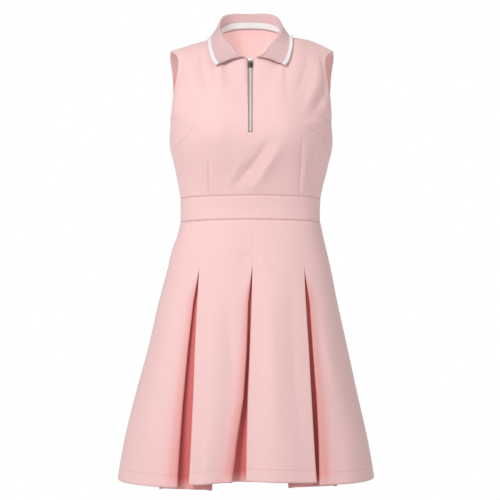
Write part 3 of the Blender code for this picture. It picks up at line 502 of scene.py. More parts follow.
def wovenMaterial(name, finish, rows=(), seams=(), withPaintedShade=False):
    made, tree, shader = newMaterial(name)
    uv = addNode(tree, "ShaderNodeUVMap", uv_map="cloth")
    threads = placeGroup(tree, weave, Vector=uv.outputs[0], Thread=finish["thread"], Slub=finish["slub"])
    place = addNode(tree, "ShaderNodeTexCoord").outputs["Object"]
    paler, fuller = (tuple(min(1.0, c * k) for c in finish["colour"]) for k in finish["unevenness"])
    colour = mixColours(tree, addNoise(tree, place, finish["unevenScale"], 3.0), paler, fuller)
    # Painted shade: where the depth attribute is high, in the pleat hollows and beside the pleat edges, the colour
    # goes towards the coral shade colour.
    if withPaintedShade:
        colour = mixColours(tree, attribute(tree, "depth"), colour, finish["paintedShade"])
    colour = tonedColour(tree, colour, mathNode(tree, "ADD", threads.outputs["Tone"], 1.0))
    height = mathNode(tree, "MULTIPLY", threads.outputs["Height"], finish["weaveBump"])
    crumple = addNoise(tree, place, finish["crumpleScale"], 4.0, 0.45)
    height = mathNode(tree, "ADD", height, mathNode(tree, "MULTIPLY", crumple, finish["crumpleBump"]))
    for distance, along, offset in rows:
        line = placeGroup(tree, stitches, Distance=attribute(tree, distance), Along=attribute(tree, along),
                          Offset=offset)
        for key, rise in (("Thread", "stitchRise"), ("Groove", "stitchGroove")):
            height = mathNode(tree, "ADD", height, mathNode(tree, "MULTIPLY", line.outputs[key], finish[rise]))
        # Painted shade: a band beside each row of stitches is darkened towards the coral shade colour, as shade in
        # the groove.
        grooveShade = mathNode(tree, "MULTIPLY", line.outputs["Groove"], finish["stitchGrooveShade"])
        colour = mixColours(tree, grooveShade, colour, finish["paintedShade"])
    # Painted shade: each seam line is darkened towards the coral shade colour by its own amount, as shade in the
    # seam's groove.
    for start, end, rise, grooveShade in seams:
        line = placeGroup(tree, seamLine, Vector=place, Start=start, End=end)
        height = mathNode(tree, "ADD", height, mathNode(tree, "MULTIPLY", line.outputs["Groove"], rise))
        colour = mixColours(tree, mathNode(tree, "MULTIPLY", line.outputs["Line"], grooveShade), colour, finish["paintedShade"])
    addBump(tree, shader, height, 1.0)
    tree.links.new(colour, shader.inputs["Base Color"])
    rough = mathNode(tree, "MULTIPLY_ADD", threads.outputs["Height"], 0.1, finish["roughness"] - 0.05)
    tree.links.new(rough, shader.inputs["Roughness"])
    shader.inputs["Sheen Weight"].default_value = finish["sheen"]
    shader.inputs["Sheen Roughness"].default_value = 0.45
    shader.inputs["Specular IOR Level"].default_value = 0.35
    return made


print("form and materials ready")


# Camera, floor and light

stage = {
    "floorZ": -1.06, "floorRadius": 5.0, "fadeFrom": 0.5, "fadeTo": 1.3, "floorTone": 0.86,
    "keyPlace": (-2.0, -2.9, 2.1), "keySize": 1.3, "keyPower": 122.0,
    "fillPlace": (2.6, -1.9, 2.0), "fillSize": 1.6, "fillPower": 24.0,
    "world": 0.40,
    "insidePlace": (0.0, -0.015, -0.125), "insideSize": 0.07, "insidePower": 0.15, "insideAim": (0.0, 0.08, 0.03),
}


def makeCamera():
    data = bpy.data.cameras.new("camera")
    made = bpy.data.objects.new("camera", data)
    bpy.context.scene.collection.objects.link(made)
    data.sensor_width = 36.0
    data.lens = 36.0 * camera["distance"] / camera["view"]
    data.clip_start = 0.1
    made.location = (camera["x"] * mm, -camera["distance"] * mm, camera["height"] * mm)
    made.rotation_euler = (math.radians(90), 0, 0)
    bpy.context.scene.camera = made


def makeLight(name, place, size, power, aimAt=None):
    data = bpy.data.lights.new(name, "AREA")
    data.size = size
    data.energy = power
    made = bpy.data.objects.new(name, data)
    bpy.context.scene.collection.objects.link(made)
    made.location = place
    aim = Vector(aimAt or (0, 0, camera["height"] * mm)) - Vector(place)
    made.rotation_euler = aim.to_track_quat("-Z", "Y").to_euler()
    made.visible_camera = False


def makeWorld():
    world = bpy.data.worlds.new("studio")
    bpy.context.scene.world = world
    world.use_nodes = True
    tree = world.node_tree
    path = addNode(tree, "ShaderNodeLightPath")
    strength = addNode(tree, "ShaderNodeMix", data_type="FLOAT")
    strength.inputs["A"].default_value = stage["world"]
    strength.inputs["B"].default_value = 1.0
    tree.links.new(path.outputs["Is Camera Ray"], strength.inputs["Factor"])
    background = tree.nodes["Background"]
    background.inputs["Color"].default_value = (1, 1, 1, 1)
    tree.links.new(strength.outputs["Result"], background.inputs["Strength"])
    bpy.context.scene.view_settings.view_transform = "Standard"


def makeFloor():
    # pale disc that fades to the white of the studio
    bm = bmesh.new()
    bmesh.ops.create_circle(bm, cap_ends=True, segments=96, radius=stage["floorRadius"])
    bmesh.ops.translate(bm, verts=bm.verts, vec=(0, 0, stage["floorZ"]))
    mesh = bpy.data.meshes.new("floor")
    bm.to_mesh(mesh)
    bm.free()
    made, tree, shader = newMaterial("studio_floor")
    coords = addNode(tree, "ShaderNodeTexCoord")
    flat = addNode(tree, "ShaderNodeVectorMath", operation="MULTIPLY")
    flat.inputs[1].default_value = (1, 1, 0)
    tree.links.new(coords.outputs["Object"], flat.inputs[0])
    reach = addNode(tree, "ShaderNodeVectorMath", operation="LENGTH")
    tree.links.new(flat.outputs[0], reach.inputs[0])
    fade = addNode(tree, "ShaderNodeMapRange", interpolation_type="SMOOTHSTEP")
    fade.inputs["From Min"].default_value = stage["fadeFrom"]
    fade.inputs["From Max"].default_value = stage["fadeTo"]
    tree.links.new(reach.outputs["Value"], fade.inputs["Value"])
    shader.inputs["Base Color"].default_value = (*[stage["floorTone"]] * 3, 1)
    shader.inputs["Roughness"].default_value = 0.8
    glow = addNode(tree, "ShaderNodeEmission")
    both = addNode(tree, "ShaderNodeMixShader")
    tree.links.new(fade.outputs["Result"], both.inputs["Fac"])
    tree.links.new(shader.outputs[0], both.inputs[1])
    tree.links.new(glow.outputs[0], both.inputs[2])
    tree.links.new(both.outputs[0], tree.nodes["Material Output"].inputs["Surface"])
    mesh.materials.append(made)
    floor = bpy.data.objects.new("floor", mesh)
    bpy.context.scene.collection.objects.link(floor)


makeCamera()
makeWorld()
makeLight("key", stage["keyPlace"], stage["keySize"], stage["keyPower"])
makeLight("fill", stage["fillPlace"], stage["fillSize"], stage["fillPower"])
makeLight("inside", stage["insidePlace"], stage["insideSize"], stage["insidePower"], stage["insideAim"])
makeFloor()
weave = makeWeave()
stitches = makeStitches()
seamLine = makeSeamLine()
pinkWoven = wovenMaterial("pink_woven", pinkFinish)
# The pleated cloth carries painted shade in its pleat hollows.
pinkPleated = wovenMaterial("pink_pleated_painted_shade", pinkFinish, withPaintedShade=True,
                            rows=(("fromHem", "run", pinkFinish["hemStitches"]),))
print("camera, floor and light ready")


# Bodice

bodiceSettings = {
    "thickness": 1.0, "slit": 8.4, "zipBottom": -181.0, "slitAngle": 1.32,
    "frontColumns": 96, "backColumns": 70, "lowRows": 64, "highRows": 84,
    "rippleSize": 46.0, "rippleHeight": 0.9, "calmAngle": 16.0, "calmHeight": 0.12, "crowding": 1.12,
    "rolled": (1.0, 0.35),
}

frontCreases = {  # start, middle and end as the camera sees them, then the width to left and right and the height
    "shoulderFold": ((-105, 404), (-108, 366), (-86, 292), 4, 7, -6.0),
    "leftOfFold": ((-122, 404), (-126, 360), (-110, 300), 10, 7, 2.4),
    "rightOfFold": ((-90, 408), (-88, 370), (-72, 310), 7, 12, 2.6),
    "neckDip": ((-44, 362), (-47, 335), (-50, 308), 8, 8, -1.2),
    "leftBand": ((-158, 262), (-122, 258), (-86, 244), 8, 9, 2.2),
    "aboveLeftBand": ((-160, 294), (-128, 286), (-96, 272), 9, 10, -1.8),
    "rightRidge": ((134, 404), (128, 330), (98, 266), 9, 20, 4.2),
    "rightHollow": ((162, 362), (152, 316), (120, 268), 14, 12, -6.5),
    "rightBand": ((98, 250), (130, 254), (164, 248), 8, 8, 3.0),
    "rightSlant": ((118, 404), (108, 350), (84, 300), 7, 7, -2.0),
    "diagonalRidge": ((66, 222), (36, 168), (-4, 112), 9, 12, 4.6),
    "diagonalTrough": ((44, 228), (8, 176), (-34, 128), 8, 12, -4.2),
    "secondDiagonal": ((-14, 186), (-28, 156), (-48, 122), 8, 8, 1.8),
    "rightDart": ((104, 224), (100, 166), (97, 106), 3, 3, -1.4),
    "besideRightDart": ((113, 214), (110, 160), (104, 108), 5, 6, 1.8),
    "rightStreak": ((130, 214), (127, 160), (120, 112), 7, 7, -2.2),
    "leftDart": ((-85, 184), (-83.5, 144), (-82.6, 106), 2.5, 2.5, -1.5),
    "besideLeftDart": ((-76, 178), (-76, 142), (-76, 108), 4, 6, 1.6),
}

backCreases = {
    "bladeFold": ((-96, 390), (-88, 330), (-70, 270), 8, 12, -2.4),
    "otherBlade": ((92, 384), (88, 322), (74, 262), 12, 8, -2.6),
    "smallOfBack": ((-70, 176), (-10, 160), (48, 172), 12, 10, -2.2),
    "slant": ((60, 214), (20, 176), (-24, 138), 9, 11, 2.4),
    "waistRight": ((-98, 190), (-94, 150), (-90, 116), 10, 12, -2.0),
}


def bodiceHeights():
    low = np.linspace(0, 1, bodiceSettings["lowRows"])
    high = np.linspace(1, 2, bodiceSettings["highRows"])
    return np.concatenate([low, high[1:]])


def fineBodice(angles, facing, creases, seed):
    heights = bodiceHeights()
    points = bodice(angles[None, :], heights[:, None], facing)
    ends = bodiceSettings["calmHeight"]
    calm = smoothStep((90 - np.abs(angles)) / bodiceSettings["calmAngle"])[None, :]
    calm = calm * (smoothStep(heights / ends) * smoothStep((2 - heights) / ends))[:, None]
    push = softCreases(points, creases.values(), facing)
    push = push + ripples(points, bodiceSettings["rippleSize"], bodiceSettings["rippleHeight"], seed)
    return points + outward(points) * (push * calm)[..., None]


def rolledEdge(points, row, ways, depth=0.7):
    # the outermost rows turn in to their seam
    for k, share in enumerate(ways):
        r = row + k if row == 0 else row - k
        points[r] -= outward(points[r]) * depth * share
    return points


def frontBodice():
    half = bodiceSettings["slitAngle"] + (90 - bodiceSettings["slitAngle"]) * np.linspace(
        0, 1, bodiceSettings["frontColumns"]) ** bodiceSettings["crowding"]
    angles = np.concatenate([-half[::-1], [0.0], half])
    points = fineBodice(angles, -1, frontCreases, 3.0)
    middle = len(half)
    for c, side in ((middle - 1, -1), (middle + 1, 1)):
        points[:, c, 0] = side * bodiceSettings["slit"] / 2
    slitRow = int(np.argmax(points[:, middle, 2] > bodiceSettings["zipBottom"]))
    points[slitRow, middle - 1:middle + 2, 2] = bodiceSettings["zipBottom"]
    points[:, (0, -1), 1] -= form["seamGap"] / 2
    points[0, :, 2] += form["seamGap"] / 2
    shoulder = np.abs(angles) >= form["neckAngle"]
    points[-1, shoulder, 1] -= form["seamGap"] / 2
    points = rolledEdge(points, 0, bodiceSettings["rolled"])
    made = clothSheet(
        "front_panel", points, frontMaterial(points), bodiceSettings["thickness"],
        leaveOut=lambda r, c: c in (middle - 1, middle) and r >= slitRow,
    )
    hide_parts("front_bodice")
    return points, middle


def backBodice():
    half = np.linspace(0, 90, bodiceSettings["backColumns"])[1:]
    angles = np.concatenate([-half[::-1], [0.0], half])
    points = fineBodice(angles, 1, backCreases, 11.0)[:, ::-1]
    points[:, (0, -1), 1] += form["seamGap"] / 2
    points[0, :, 2] += form["seamGap"] / 2
    shoulder = np.abs(angles) >= form["neckAngle"]
    points[-1, shoulder, 1] += form["seamGap"] / 2
    points = rolledEdge(points, 0, bodiceSettings["rolled"])
    made = clothSheet("back_panel", points, pinkWoven, bodiceSettings["thickness"])
    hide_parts("back_bodice")
    return points


dartSeams = {  # as the camera sees them
    "rightBustDart": ((116, 245), (124, 240), (142, 230), (153, 212), (156, 196)),
    "leftBustDart": ((-114, 243), (-126, 230), (-140, 213), (-149, 203)),
    "rightWaistDart": ((104, 224), (100, 166), (97, 106)),
    "leftWaistDart": ((-85, 180), (-83.5, 144), (-82.6, 106)),
}
seamSettings = {  # the topstitching beside the zip is given as places on the cloth
    # The dart seams are darkened as painted shade in their grooves; the topstitching beside the zip is not darkened.
    "dartRise": -0.0006, "dartLineShade": 0.55, "stitchAt": 6.8, "stitchTop": -38.0, "stitchBottom": -184.0,
    "stitchPoint": -188.5, "stitchPointAt": 1.0, "stitchRise": 0.00035,
}


def placeSeenAt(points, x, z):
    px, pz = seen(points)
    r, c = np.unravel_index(np.argmin((px - x) ** 2 + (pz - z) ** 2), px.shape)
    return tuple(float(v) * mm for v in points[r, c])


def frontMaterial(points):
    s = seamSettings
    seams = []
    for line in dartSeams.values():
        ends = [placeSeenAt(points, x, z) for x, z in line]
        seams += [(a, b, s["dartRise"], s["dartLineShade"]) for a, b in zip(ends, ends[1:])]
    for side in (-1, 1):
        corners = [(s["stitchAt"], s["stitchTop"]), (s["stitchAt"], s["stitchBottom"]),
                   (s["stitchPointAt"], s["stitchPoint"])]
        ends = [(side * x * mm, 0.0, z * mm) for x, z in corners]
        seams += [(a, b, s["stitchRise"], 0.0) for a, b in zip(ends, ends[1:])]
    return wovenMaterial("pink_woven_front", pinkFinish, seams=seams)


frontPoints, middleColumn = frontBodice()
backPoints = backBodice()
print("bodice ready")


# Waistband

bandSettings = {"columns": 150, "rows": 15, "thickness": 1.5}


def waistband(name, node, facing):
    angles = np.linspace(-90, 90, bandSettings["columns"])
    arch = form["waistArch"] * np.cos(np.radians(angles)) ** 2 if facing < 0 else 0 * angles
    rows = []
    for share in np.linspace(0, 1, bandSettings["rows"]):
        z = form["waistBottom"] + share * (form["waistTop"] - form["waistBottom"]) + arch
        rows.append(torso(angles, z + form["seamGap"] / 2 * (1 - 2 * share), facing))
    points = np.array(rows)
    points += outward(points) * ripples(points, 30.0, 0.35, 5.0 * facing)[..., None]
    points = rolledEdge(rolledEdge(points, 0, (1.0, 0.3)), len(rows) - 1, (1.0, 0.3))
    points[:, (0, -1), 1] += facing * form["seamGap"] / 2
    if facing > 0:
        points = points[:, ::-1]
    made = clothSheet(name, points, pinkWoven, bandSettings["thickness"])
    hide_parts(node)


waistband("band_front", "waistband_front", -1)
waistband("band_back", "waistband_back", 1)
print("waistband ready")


# Skirt

skirtSettings = {
    "thickness": 1.0, "rows": 132, "panelPoints": 40, "foldPoints": 7, "layerPoints": 5, "underPoints": 9,
    "hemNominal": -866.0, "flapWaist": 2.2, "flapHem": 8.0, "underWaist": 4.4, "underHem": 19.0,
    # glow is the share of painted shade per millimetre of fold radius beside the pleat edges; hemFade lightens that
    # painted shade at the hem.
    "openExtra": 5.0, "softRadius": 15.0, "crispRadius": 2.4, "glow": 0.028, "hemFade": 0.5, "tackWidth": 3.0,
    "deepening": 1.3, "openAt": 7.0, "openWaist": 0.35,
}

# where the two edges of each inverted pleat lie across the skirt, by height, and how far its two layers go
frontPleats = (
    {"z": (-353, -441, -512, -605, -700, -790, -870),
     "right": (-88.0, -100.0, -112.3, -122.5, -131.0, -137.6, -142.0),
     "left": (-88.0, -100.0, -104.2, -108.0, -111.0, -115.0, -119.0),
     "underRight": (24.0, 44.0), "underLeft": (24.0, 44.0), "underZ": -870.0, "soft": "right", "seam": 0.0},
    {"z": (-353, -433, -512, -605, -700, -790, -870),
     "right": (3.0, 4.5, -4.6, -7.5, -13.7, -27.0, -36.0),
     "left": (3.0, 4.5, 2.4, -1.0, -5.0, -7.4, -8.6),
     "underRight": (22.0, 29.0), "underLeft": (24.0, 44.0), "underZ": -854.0, "soft": "right", "seam": 0.7},
    {"z": (-353, -440, -512, -605, -700, -790, -870),
     "right": (96.0, 104.5, 107.8, 113.7, 118.3, 123.2, 128.2),
     "left": (96.0, 104.5, 116.6, 122.5, 129.3, 133.2, 134.5),
     "underRight": (26.0, 55.0), "underLeft": (24.0, 44.0), "underZ": -865.0, "soft": "left", "seam": 0.0},
)
backPleats = (
    {"z": (-353, -440, -605, -870),
     "right": (-92.0, -101.0, -120.0, -141.0), "left": (-92.0, -101.0, -110.0, -120.0),
     "underRight": (24.0, 42.0), "underLeft": (24.0, 42.0), "underZ": -869.0, "soft": "right", "seam": 0.0},
    {"z": (-353, -436, -605, -870), "right": (0.0, 0.0, -4.5, -14.0), "left": (0.0, 0.0, 4.0, 10.0),
     "underRight": (24.0, 42.0), "underLeft": (24.0, 42.0), "underZ": -864.0, "soft": "left", "seam": 0.7},
    {"z": (-353, -440, -605, -870), "right": (92.0, 101.0, 110.0, 121.0), "left": (92.0, 101.0, 119.0, 139.0),
     "underRight": (24.0, 42.0), "underLeft": (24.0, 42.0), "underZ": -869.0, "soft": "left", "seam": 0.0},
)
# from the right side seam to the left: height of the hem at both ends, swell at the hem and its crest
frontPanels = ((-862, -866, 5.0, 0.55), (-859, -854, 11.0, 0.42), (-851, -856, 9.0, 0.40), (-861, -860, 6.0, 0.30))
backPanels = ((-862, -865, 6.0, 0.50), (-862, -860, 9.0, 0.55), (-860, -862, 9.0, 0.45), (-865, -860, 6.0, 0.50))

skirtCreases = {  # as the camera sees them
    "wedgeLeft": ((-26, -8), (-10, -14), (0, -20), 7, 7, -2.0),
    "wedgeRight": ((16, -18), (28, -26), (44, -38), 8, 8, 2.2),
    "softFold": ((-50, -100), (-40, -200), (-30, -324), 16, 14, -3.0),
    "leftOfFold": ((-84, -90), (-80, -220), (-70, -360), 18, 16, 2.6),
    "rightLight": ((44, -60), (48, -240), (58, -400), 15, 16, 2.6),
    "rightDark": ((82, -60), (88, -230), (100, -400), 15, 15, -2.6),
    "sideLight": ((136, -98), (152, -200), (170, -300), 11, 14, 2.6),
    "sideDark": ((160, -70), (190, -220), (222, -380), 15, 15, -2.4),
    "leftPanel": ((-140, -60), (-176, -220), (-212, -400), 16, 18, 2.2),
    "hemLight": ((-70, -460), (-62, -450), (-54, -440), 8, 8, 1.8),
}
backSkirtCreases = {
    "one": ((-150, -80), (-172, -240), (-196, -420), 18, 16, 2.6),
    "two": ((-60, -60), (-66, -240), (-78, -420), 17, 15, -2.8),
    "three": ((52, -70), (56, -240), (66, -400), 15, 18, 2.8),
    "four": ((148, -60), (170, -220), (198, -400), 16, 16, -2.4),
}


def skirtOutline(z, facing):
    a = np.radians(np.linspace(-90, 90, 721))
    table = sections["skirt"]
    half = np.where(a < 0, read(table, "right", "z", z), read(table, "left", "z", z))
    depth = read(table, "front" if facing < 0 else "back", "z", z)
    full = 1 + form["diagonalFullness"] * np.sin(2 * a) ** 2
    line = np.stack([half * np.sin(a) * full, facing * depth * np.cos(a) * full], axis=-1)
    along = np.concatenate([[0], np.cumsum(np.linalg.norm(np.diff(line, axis=0), axis=1))])
    step = np.gradient(line, axis=0)
    inward = np.stack([step[:, 1], -step[:, 0]], axis=-1) * facing
    return line, along, inward / np.linalg.norm(inward, axis=1, keepdims=True)


def halfTurn(edge, radius, depth, nextDepth, side):
    # soft fold from one layer to the next; side is 1 where the fold points to the wearer's left
    middle = (depth + nextDepth) / 2
    made = []
    for b in np.linspace(-90, 90, skirtSettings["foldPoints"]):
        a = math.radians(b)
        along = edge - side * radius + side * radius * math.cos(a)
        made.append((along, middle + (nextDepth - depth) / 2 * math.sin(a)))
    return made


def pleatLayers(p, right, left, radii, flap, under, hems, share):
    # the two folded edges and the layers between them: along, inward, hem height, share of painted shade
    s = skirtSettings
    hemIn, hemOut, hemNext = hems
    deepRight = right - (p["underRight"][0] + share * (p["underRight"][1] - p["underRight"][0]))
    deepLeft = left + (p["underLeft"][0] + share * (p["underLeft"][1] - p["underLeft"][0]))
    second = (under - flap) / 2
    between = np.linspace(0, 1, s["layerPoints"] + 2)[1:-1]
    turn = halfTurn(right, radii[0], 0, flap, 1)
    # Painted shade builds up around the soft turn from the panel into the pleat.
    glow = [s["glow"] * r for r in radii]
    made = [(a, n, hemIn, glow[0] + (1 - glow[0]) * k / (len(turn) - 1)) for k, (a, n) in enumerate(turn)]
    start, end = right - radii[0], deepRight + second
    made += [(start + t * (end - start), flap, hemIn + t * (hemOut - hemIn), 1.0) for t in between]
    made += [(a, n, hemOut, 1.0) for a, n in halfTurn(deepRight, second, flap, under, -1)]
    made += [(end + t * (right - end), under, hemOut, 1.0) for t in between]
    for t in np.linspace(0, 1, s["underPoints"]):
        reach = max(left - right, s["tackWidth"])
        lift = s["openExtra"] * share * math.sin(math.pi * t)
        made.append(((right + left) / 2 + reach * (t - 0.5), under + lift, hemOut, 1.0))
    start, end = deepLeft - second, left + radii[1]
    made += [(left + t * (start - left), under, hemOut, 1.0) for t in between]
    made += [(a, n, hemOut, 1.0) for a, n in reversed(halfTurn(deepLeft, second, flap, under, 1))]
    made += [(start + t * (end - start), flap, hemOut + t * (hemNext - hemOut), 1.0) for t in between]
    turn = list(reversed(halfTurn(left, radii[1], 0, flap, -1)))
    return made + [(a, n, hemNext, 1 - (1 - glow[1]) * k / (len(turn) - 1)) for k, (a, n) in enumerate(turn)]


def skirtStations(share, pleats, panels, facing):
    # one half at one height, from the right seam to the left, with the first and last station of each pleat
    s = skirtSettings
    z = form["waistBottom"] + share * (s["hemNominal"] - form["waistBottom"])
    line, along, inward = skirtOutline(z, facing)
    flap = s["flapWaist"] + share ** s["deepening"] * (s["flapHem"] - s["flapWaist"])
    under = s["underWaist"] + share ** s["deepening"] * (s["underHem"] - s["underWaist"])
    edges, radii = [], []
    for p in pleats:
        order = np.argsort(p["z"])
        at = np.array(p["z"], float)[order]
        right, left = (float(np.interp(z, at, np.array(p[k], float)[order])) for k in ("right", "left"))
        edges.append([float(np.interp(x, line[:, 0], along)) for x in (right, left)])
        opened = float(smoothStep((left - right) / s["openAt"])) * (s["openWaist"] + (1 - s["openWaist"]) * share)
        radii.append([opened * s["softRadius" if p["soft"] == k else "crispRadius"] for k in ("right", "left")])
    stations, spans = [], []
    starts = [(along[0], 0.0)] + [(e[1], r[1]) for e, r in zip(edges, radii)]
    ends = [(e[0], r[0]) for e, r in zip(edges, radii)] + [(along[-1], 0.0)]
    spread = np.linspace(0, 1, s["panelPoints"] + 2)
    spread = 0.35 * (0.5 - 0.5 * np.cos(math.pi * spread)) + 0.65 * spread
    for i, (hemRight, hemLeft, swell, crest) in enumerate(panels):
        start, end = starts[i][0] + starts[i][1], ends[i][0] - ends[i][1]
        inner = spread[(1 if i else 0):(-1 if i < len(pleats) else None)]
        for at in inner:
            bow = at / crest if at < crest else (1 - at) / (1 - crest)
            out = -swell * share * math.sin(math.pi / 2 * bow) ** 2
            place = start + at * (end - start)
            # Painted shade on the panel beside a pleat edge, fading away from the edge.
            edgeShade = sum(s["glow"] * r * math.exp(-abs(place - e) / (0.6 * r + 0.1)) for e, r in (
                (starts[i][0] + starts[i][1], starts[i][1]), (ends[i][0] - ends[i][1], ends[i][1])))
            stations.append((place, out, hemRight + at * (hemLeft - hemRight), edgeShade))
        if i < len(pleats):
            hems = (hemLeft, pleats[i]["underZ"], panels[i + 1][0])
            layers = pleatLayers(pleats[i], *edges[i], radii[i], flap, under, hems, share)
            if edges[i][1] - edges[i][0] < 0.01:
                for k in (0, -1):
                    layers[k] = (edges[i][0], pleats[i]["seam"], layers[k][2], 0.0)
            spans.append((len(stations), len(stations) + len(layers) - 1, edges[i][1] - edges[i][0] < 0.01))
            stations += layers
    places = []
    for at, n, hem, paintedShade in stations:
        base = np.array([np.interp(at, along, line[:, k]) for k in (0, 1)])
        side = np.array([np.interp(at, along, inward[:, k]) for k in (0, 1)])
        place = base + side * n
        places.append((place[0], place[1], z + (hem - s["hemNominal"]) * share**2, paintedShade))
    return places, spans


def skirt(name, node, pleats, panels, creases, facing):
    shares = np.linspace(1, 0, skirtSettings["rows"])
    rows = [skirtStations(share, pleats, panels, facing) for share in shares]
    grid = np.array([r[0] for r in rows])
    spans = [r[1] for r in rows]
    points, paintedShade = grid[..., :3], grid[..., 3]
    # The painted shade is lightened towards the hem, where the layers catch more light.
    paintedShade = paintedShade * (1 - skirtSettings["hemFade"] * smoothStep((shares - 0.955) / 0.04))[:, None]
    points[-1, :, 2] -= form["seamGap"] / 2
    if facing < 0:
        last = points[-1, -1, 0]
        arch = form["waistArch"] * (1 - (points[-1, :, 0] / last) ** 2)
        points[..., 2] += arch[None, :] * np.clip(1 - 4 * shares, 0, None)[:, None]
    columns = points.shape[1]
    ends = np.minimum(np.arange(columns), np.arange(columns)[::-1])
    calm = smoothStep(ends / 12.0)[None, :] * smoothStep(shares / 0.06)[:, None]
    push = softCreases(points, creases.values(), facing) + ripples(points, 70.0, 1.2, 20.0 + facing)
    points = points + outward(points) * (push * calm)[..., None]
    points[:, (0, -1), 1] += facing * form["seamGap"] / 2
    points = rolledEdge(points, len(shares) - 1, (1.0, 0.2))
    up = lengthsAlong(points, 0)
    run = np.broadcast_to(lengthsAlong(points, 1)[0], up.shape)
    if facing > 0:
        points, paintedShade, run = points[:, ::-1], paintedShade[:, ::-1], run[:, ::-1]
        spans = [[(columns - 1 - last, columns - 1 - first, shut) for first, last, shut in row] for row in spans]

    def sewnShut(r, c):
        return any(first <= c < last and shut for first, last, shut in spans[r])

    welds = [((r, first), (r, last)) for r, row in enumerate(spans) for first, last, shut in row if shut]
    # The depth attribute carries the share of painted shade to the material.
    made = clothSheet(name, points, pinkPleated, skirtSettings["thickness"],
                      values={"depth": paintedShade, "fromHem": up, "run": run}, leaveOut=sewnShut, welds=welds)
    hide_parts(node)


skirt("skirt_panels_front", "skirt_front", frontPleats, frontPanels, skirtCreases, -1)
skirt("skirt_panels_back", "skirt_back", backPleats, backPanels, backSkirtCreases, 1)
print("skirt ready")


# Collar and neck tape

collarSettings = {
    "stations": 84, "standPoints": 7, "foldPoints": 10, "leafPoints": 26, "thickness": 1.6, "foldRadius": 2.7,
    "aboveSeam": 1.0, "frontRise": 0.9, "end": 0.028, "shift": -4.0, "liftBack": 1.6, "liftTip": 4.5,
    "bodiceClearance": 1.5, "shoulderPress": 1.2, "belly": 4.0,
}
collarFold = {
    "share": (0.00, 0.20, 0.35, 0.50, 0.62, 0.75, 0.87, 0.95, 1.00),
    "x": (0.0, 34.0, 51.5, 59.5, 58.5, 50.0, 34.5, 24.5, 10.5),
    "y": (57.0, 51.5, 35.0, 9.0, -13.0, -36.0, -54.0, -64.0, -71.0),
    "z": (69.0, 68.5, 61.5, 43.5, 29.0, 10.0, -9.0, -22.0, -28.5),
}
collarEdge = {
    "share": (0.00, 0.20, 0.35, 0.50, 0.65, 0.80, 0.92, 1.00),
    "x": (0.0, 39.0, 66.0, 81.0, 84.0, 81.0, 75.0, 68.5),
    "y": (79.0, 73.0, 52.0, 17.0, -20.0, -52.0, -71.5, -80.0),
    "z": (26.0, 24.0, 20.5, 18.5, 2.0, -20.0, -37.5, -47.0),
}
knitFinish = {
    "colour": (0.70, 0.47, 0.465), "tipping": (0.84, 0.80, 0.81), "stripe": 7.6, "rib": 0.0017, "course": 0.0011,
    "roughness": 0.8, "sheen": 0.3,
}


def surfaceTree(points):
    rows, columns = points.shape[:2]
    faces = [(r * columns + c, r * columns + c + 1, (r + 1) * columns + c + 1, (r + 1) * columns + c)
             for r in range(rows - 1) for c in range(columns - 1)]
    return BVHTree.FromPolygons([Vector(p) for p in points.reshape(-1, 3)], faces)


def clearOf(trees, point, distance, reach=16.0):
    for _ in range(2):
        for tree in trees:
            place, normal, _, away = tree.find_nearest(Vector(point))
            height = (Vector(point) - place).dot(normal)
            if away < reach and height < distance:
                point = np.array(Vector(point) + normal * (distance - height))
    return point


def stand(share, side):
    s = collarSettings
    shift = side * s["shift"] * smoothStep(1 - share / 0.6)
    foot = readPoint(neckSeam, np.array(share - s["end"] * smoothStep((share - 0.85) / 0.15)))
    foot = foot + np.array([0, 0, s["aboveSeam"] + s["frontRise"] * smoothStep((share - 0.75) / 0.15)])
    return foot, readPoint(collarFold, np.array(share)) + np.array([shift, 0, 0]), shift


def collarLine(share, side, trees):
    # from the neck seam up the stand, over the fold and down the leaf
    s = collarSettings
    seam, top, shift = stand(share, side)
    edge = readPoint(collarEdge, np.array(share)) + np.array([shift, 0, 0])
    out, up = edge - seam, top - seam
    up = up / np.linalg.norm(up)
    out = out - up * out.dot(up)
    out = out / np.linalg.norm(out)
    radius = min(s["foldRadius"], max(1.4, 0.4 * np.linalg.norm(top - seam)))
    centre = top - up * radius + out * radius
    line = [seam + k * (top - up * radius - seam) for k in np.linspace(0, 1, s["standPoints"])[:-1]]
    for turn in np.linspace(0, math.pi, s["foldPoints"]):
        line.append(centre + radius * (-math.cos(turn) * out + math.sin(turn) * up))
    start = line[-1]
    lift = smoothStep((share - 0.6) / 0.4) * (s["liftTip"] - s["liftBack"])
    lift -= s["shoulderPress"] * math.exp(-((share - 0.5) / 0.12) ** 2)
    belly = s["belly"] * smoothStep((share - 0.82) / 0.18)
    bend = start + (-up * 0.30 + out * 0.12) * np.linalg.norm(edge - start)
    mirror = np.array([side, 1, 1])
    for t in np.linspace(0, 1, s["leafPoints"] + 1)[1:]:
        point = (1 - t) ** 2 * start + 2 * t * (1 - t) * bend + t * t * edge
        height = s["bodiceClearance"] + s["liftBack"] + lift * t + belly * math.sin(math.pi * t)
        point = clearOf(trees, point * mirror, height)
        line.append(point * mirror)
    return [p * mirror for p in line]


def relaxed(points, firstRow, rounds):
    # evens out the leaf, leaving its rim in place
    for _ in range(rounds):
        inner = points[firstRow + 1:-1, 1:-1]
        around = (points[firstRow:-2, 1:-1] + points[firstRow + 2:, 1:-1]
                  + points[firstRow + 1:-1, :-2] + points[firstRow + 1:-1, 2:]) / 4
        points[firstRow + 1:-1, 1:-1] = inner + 0.5 * (around - inner)
    return points


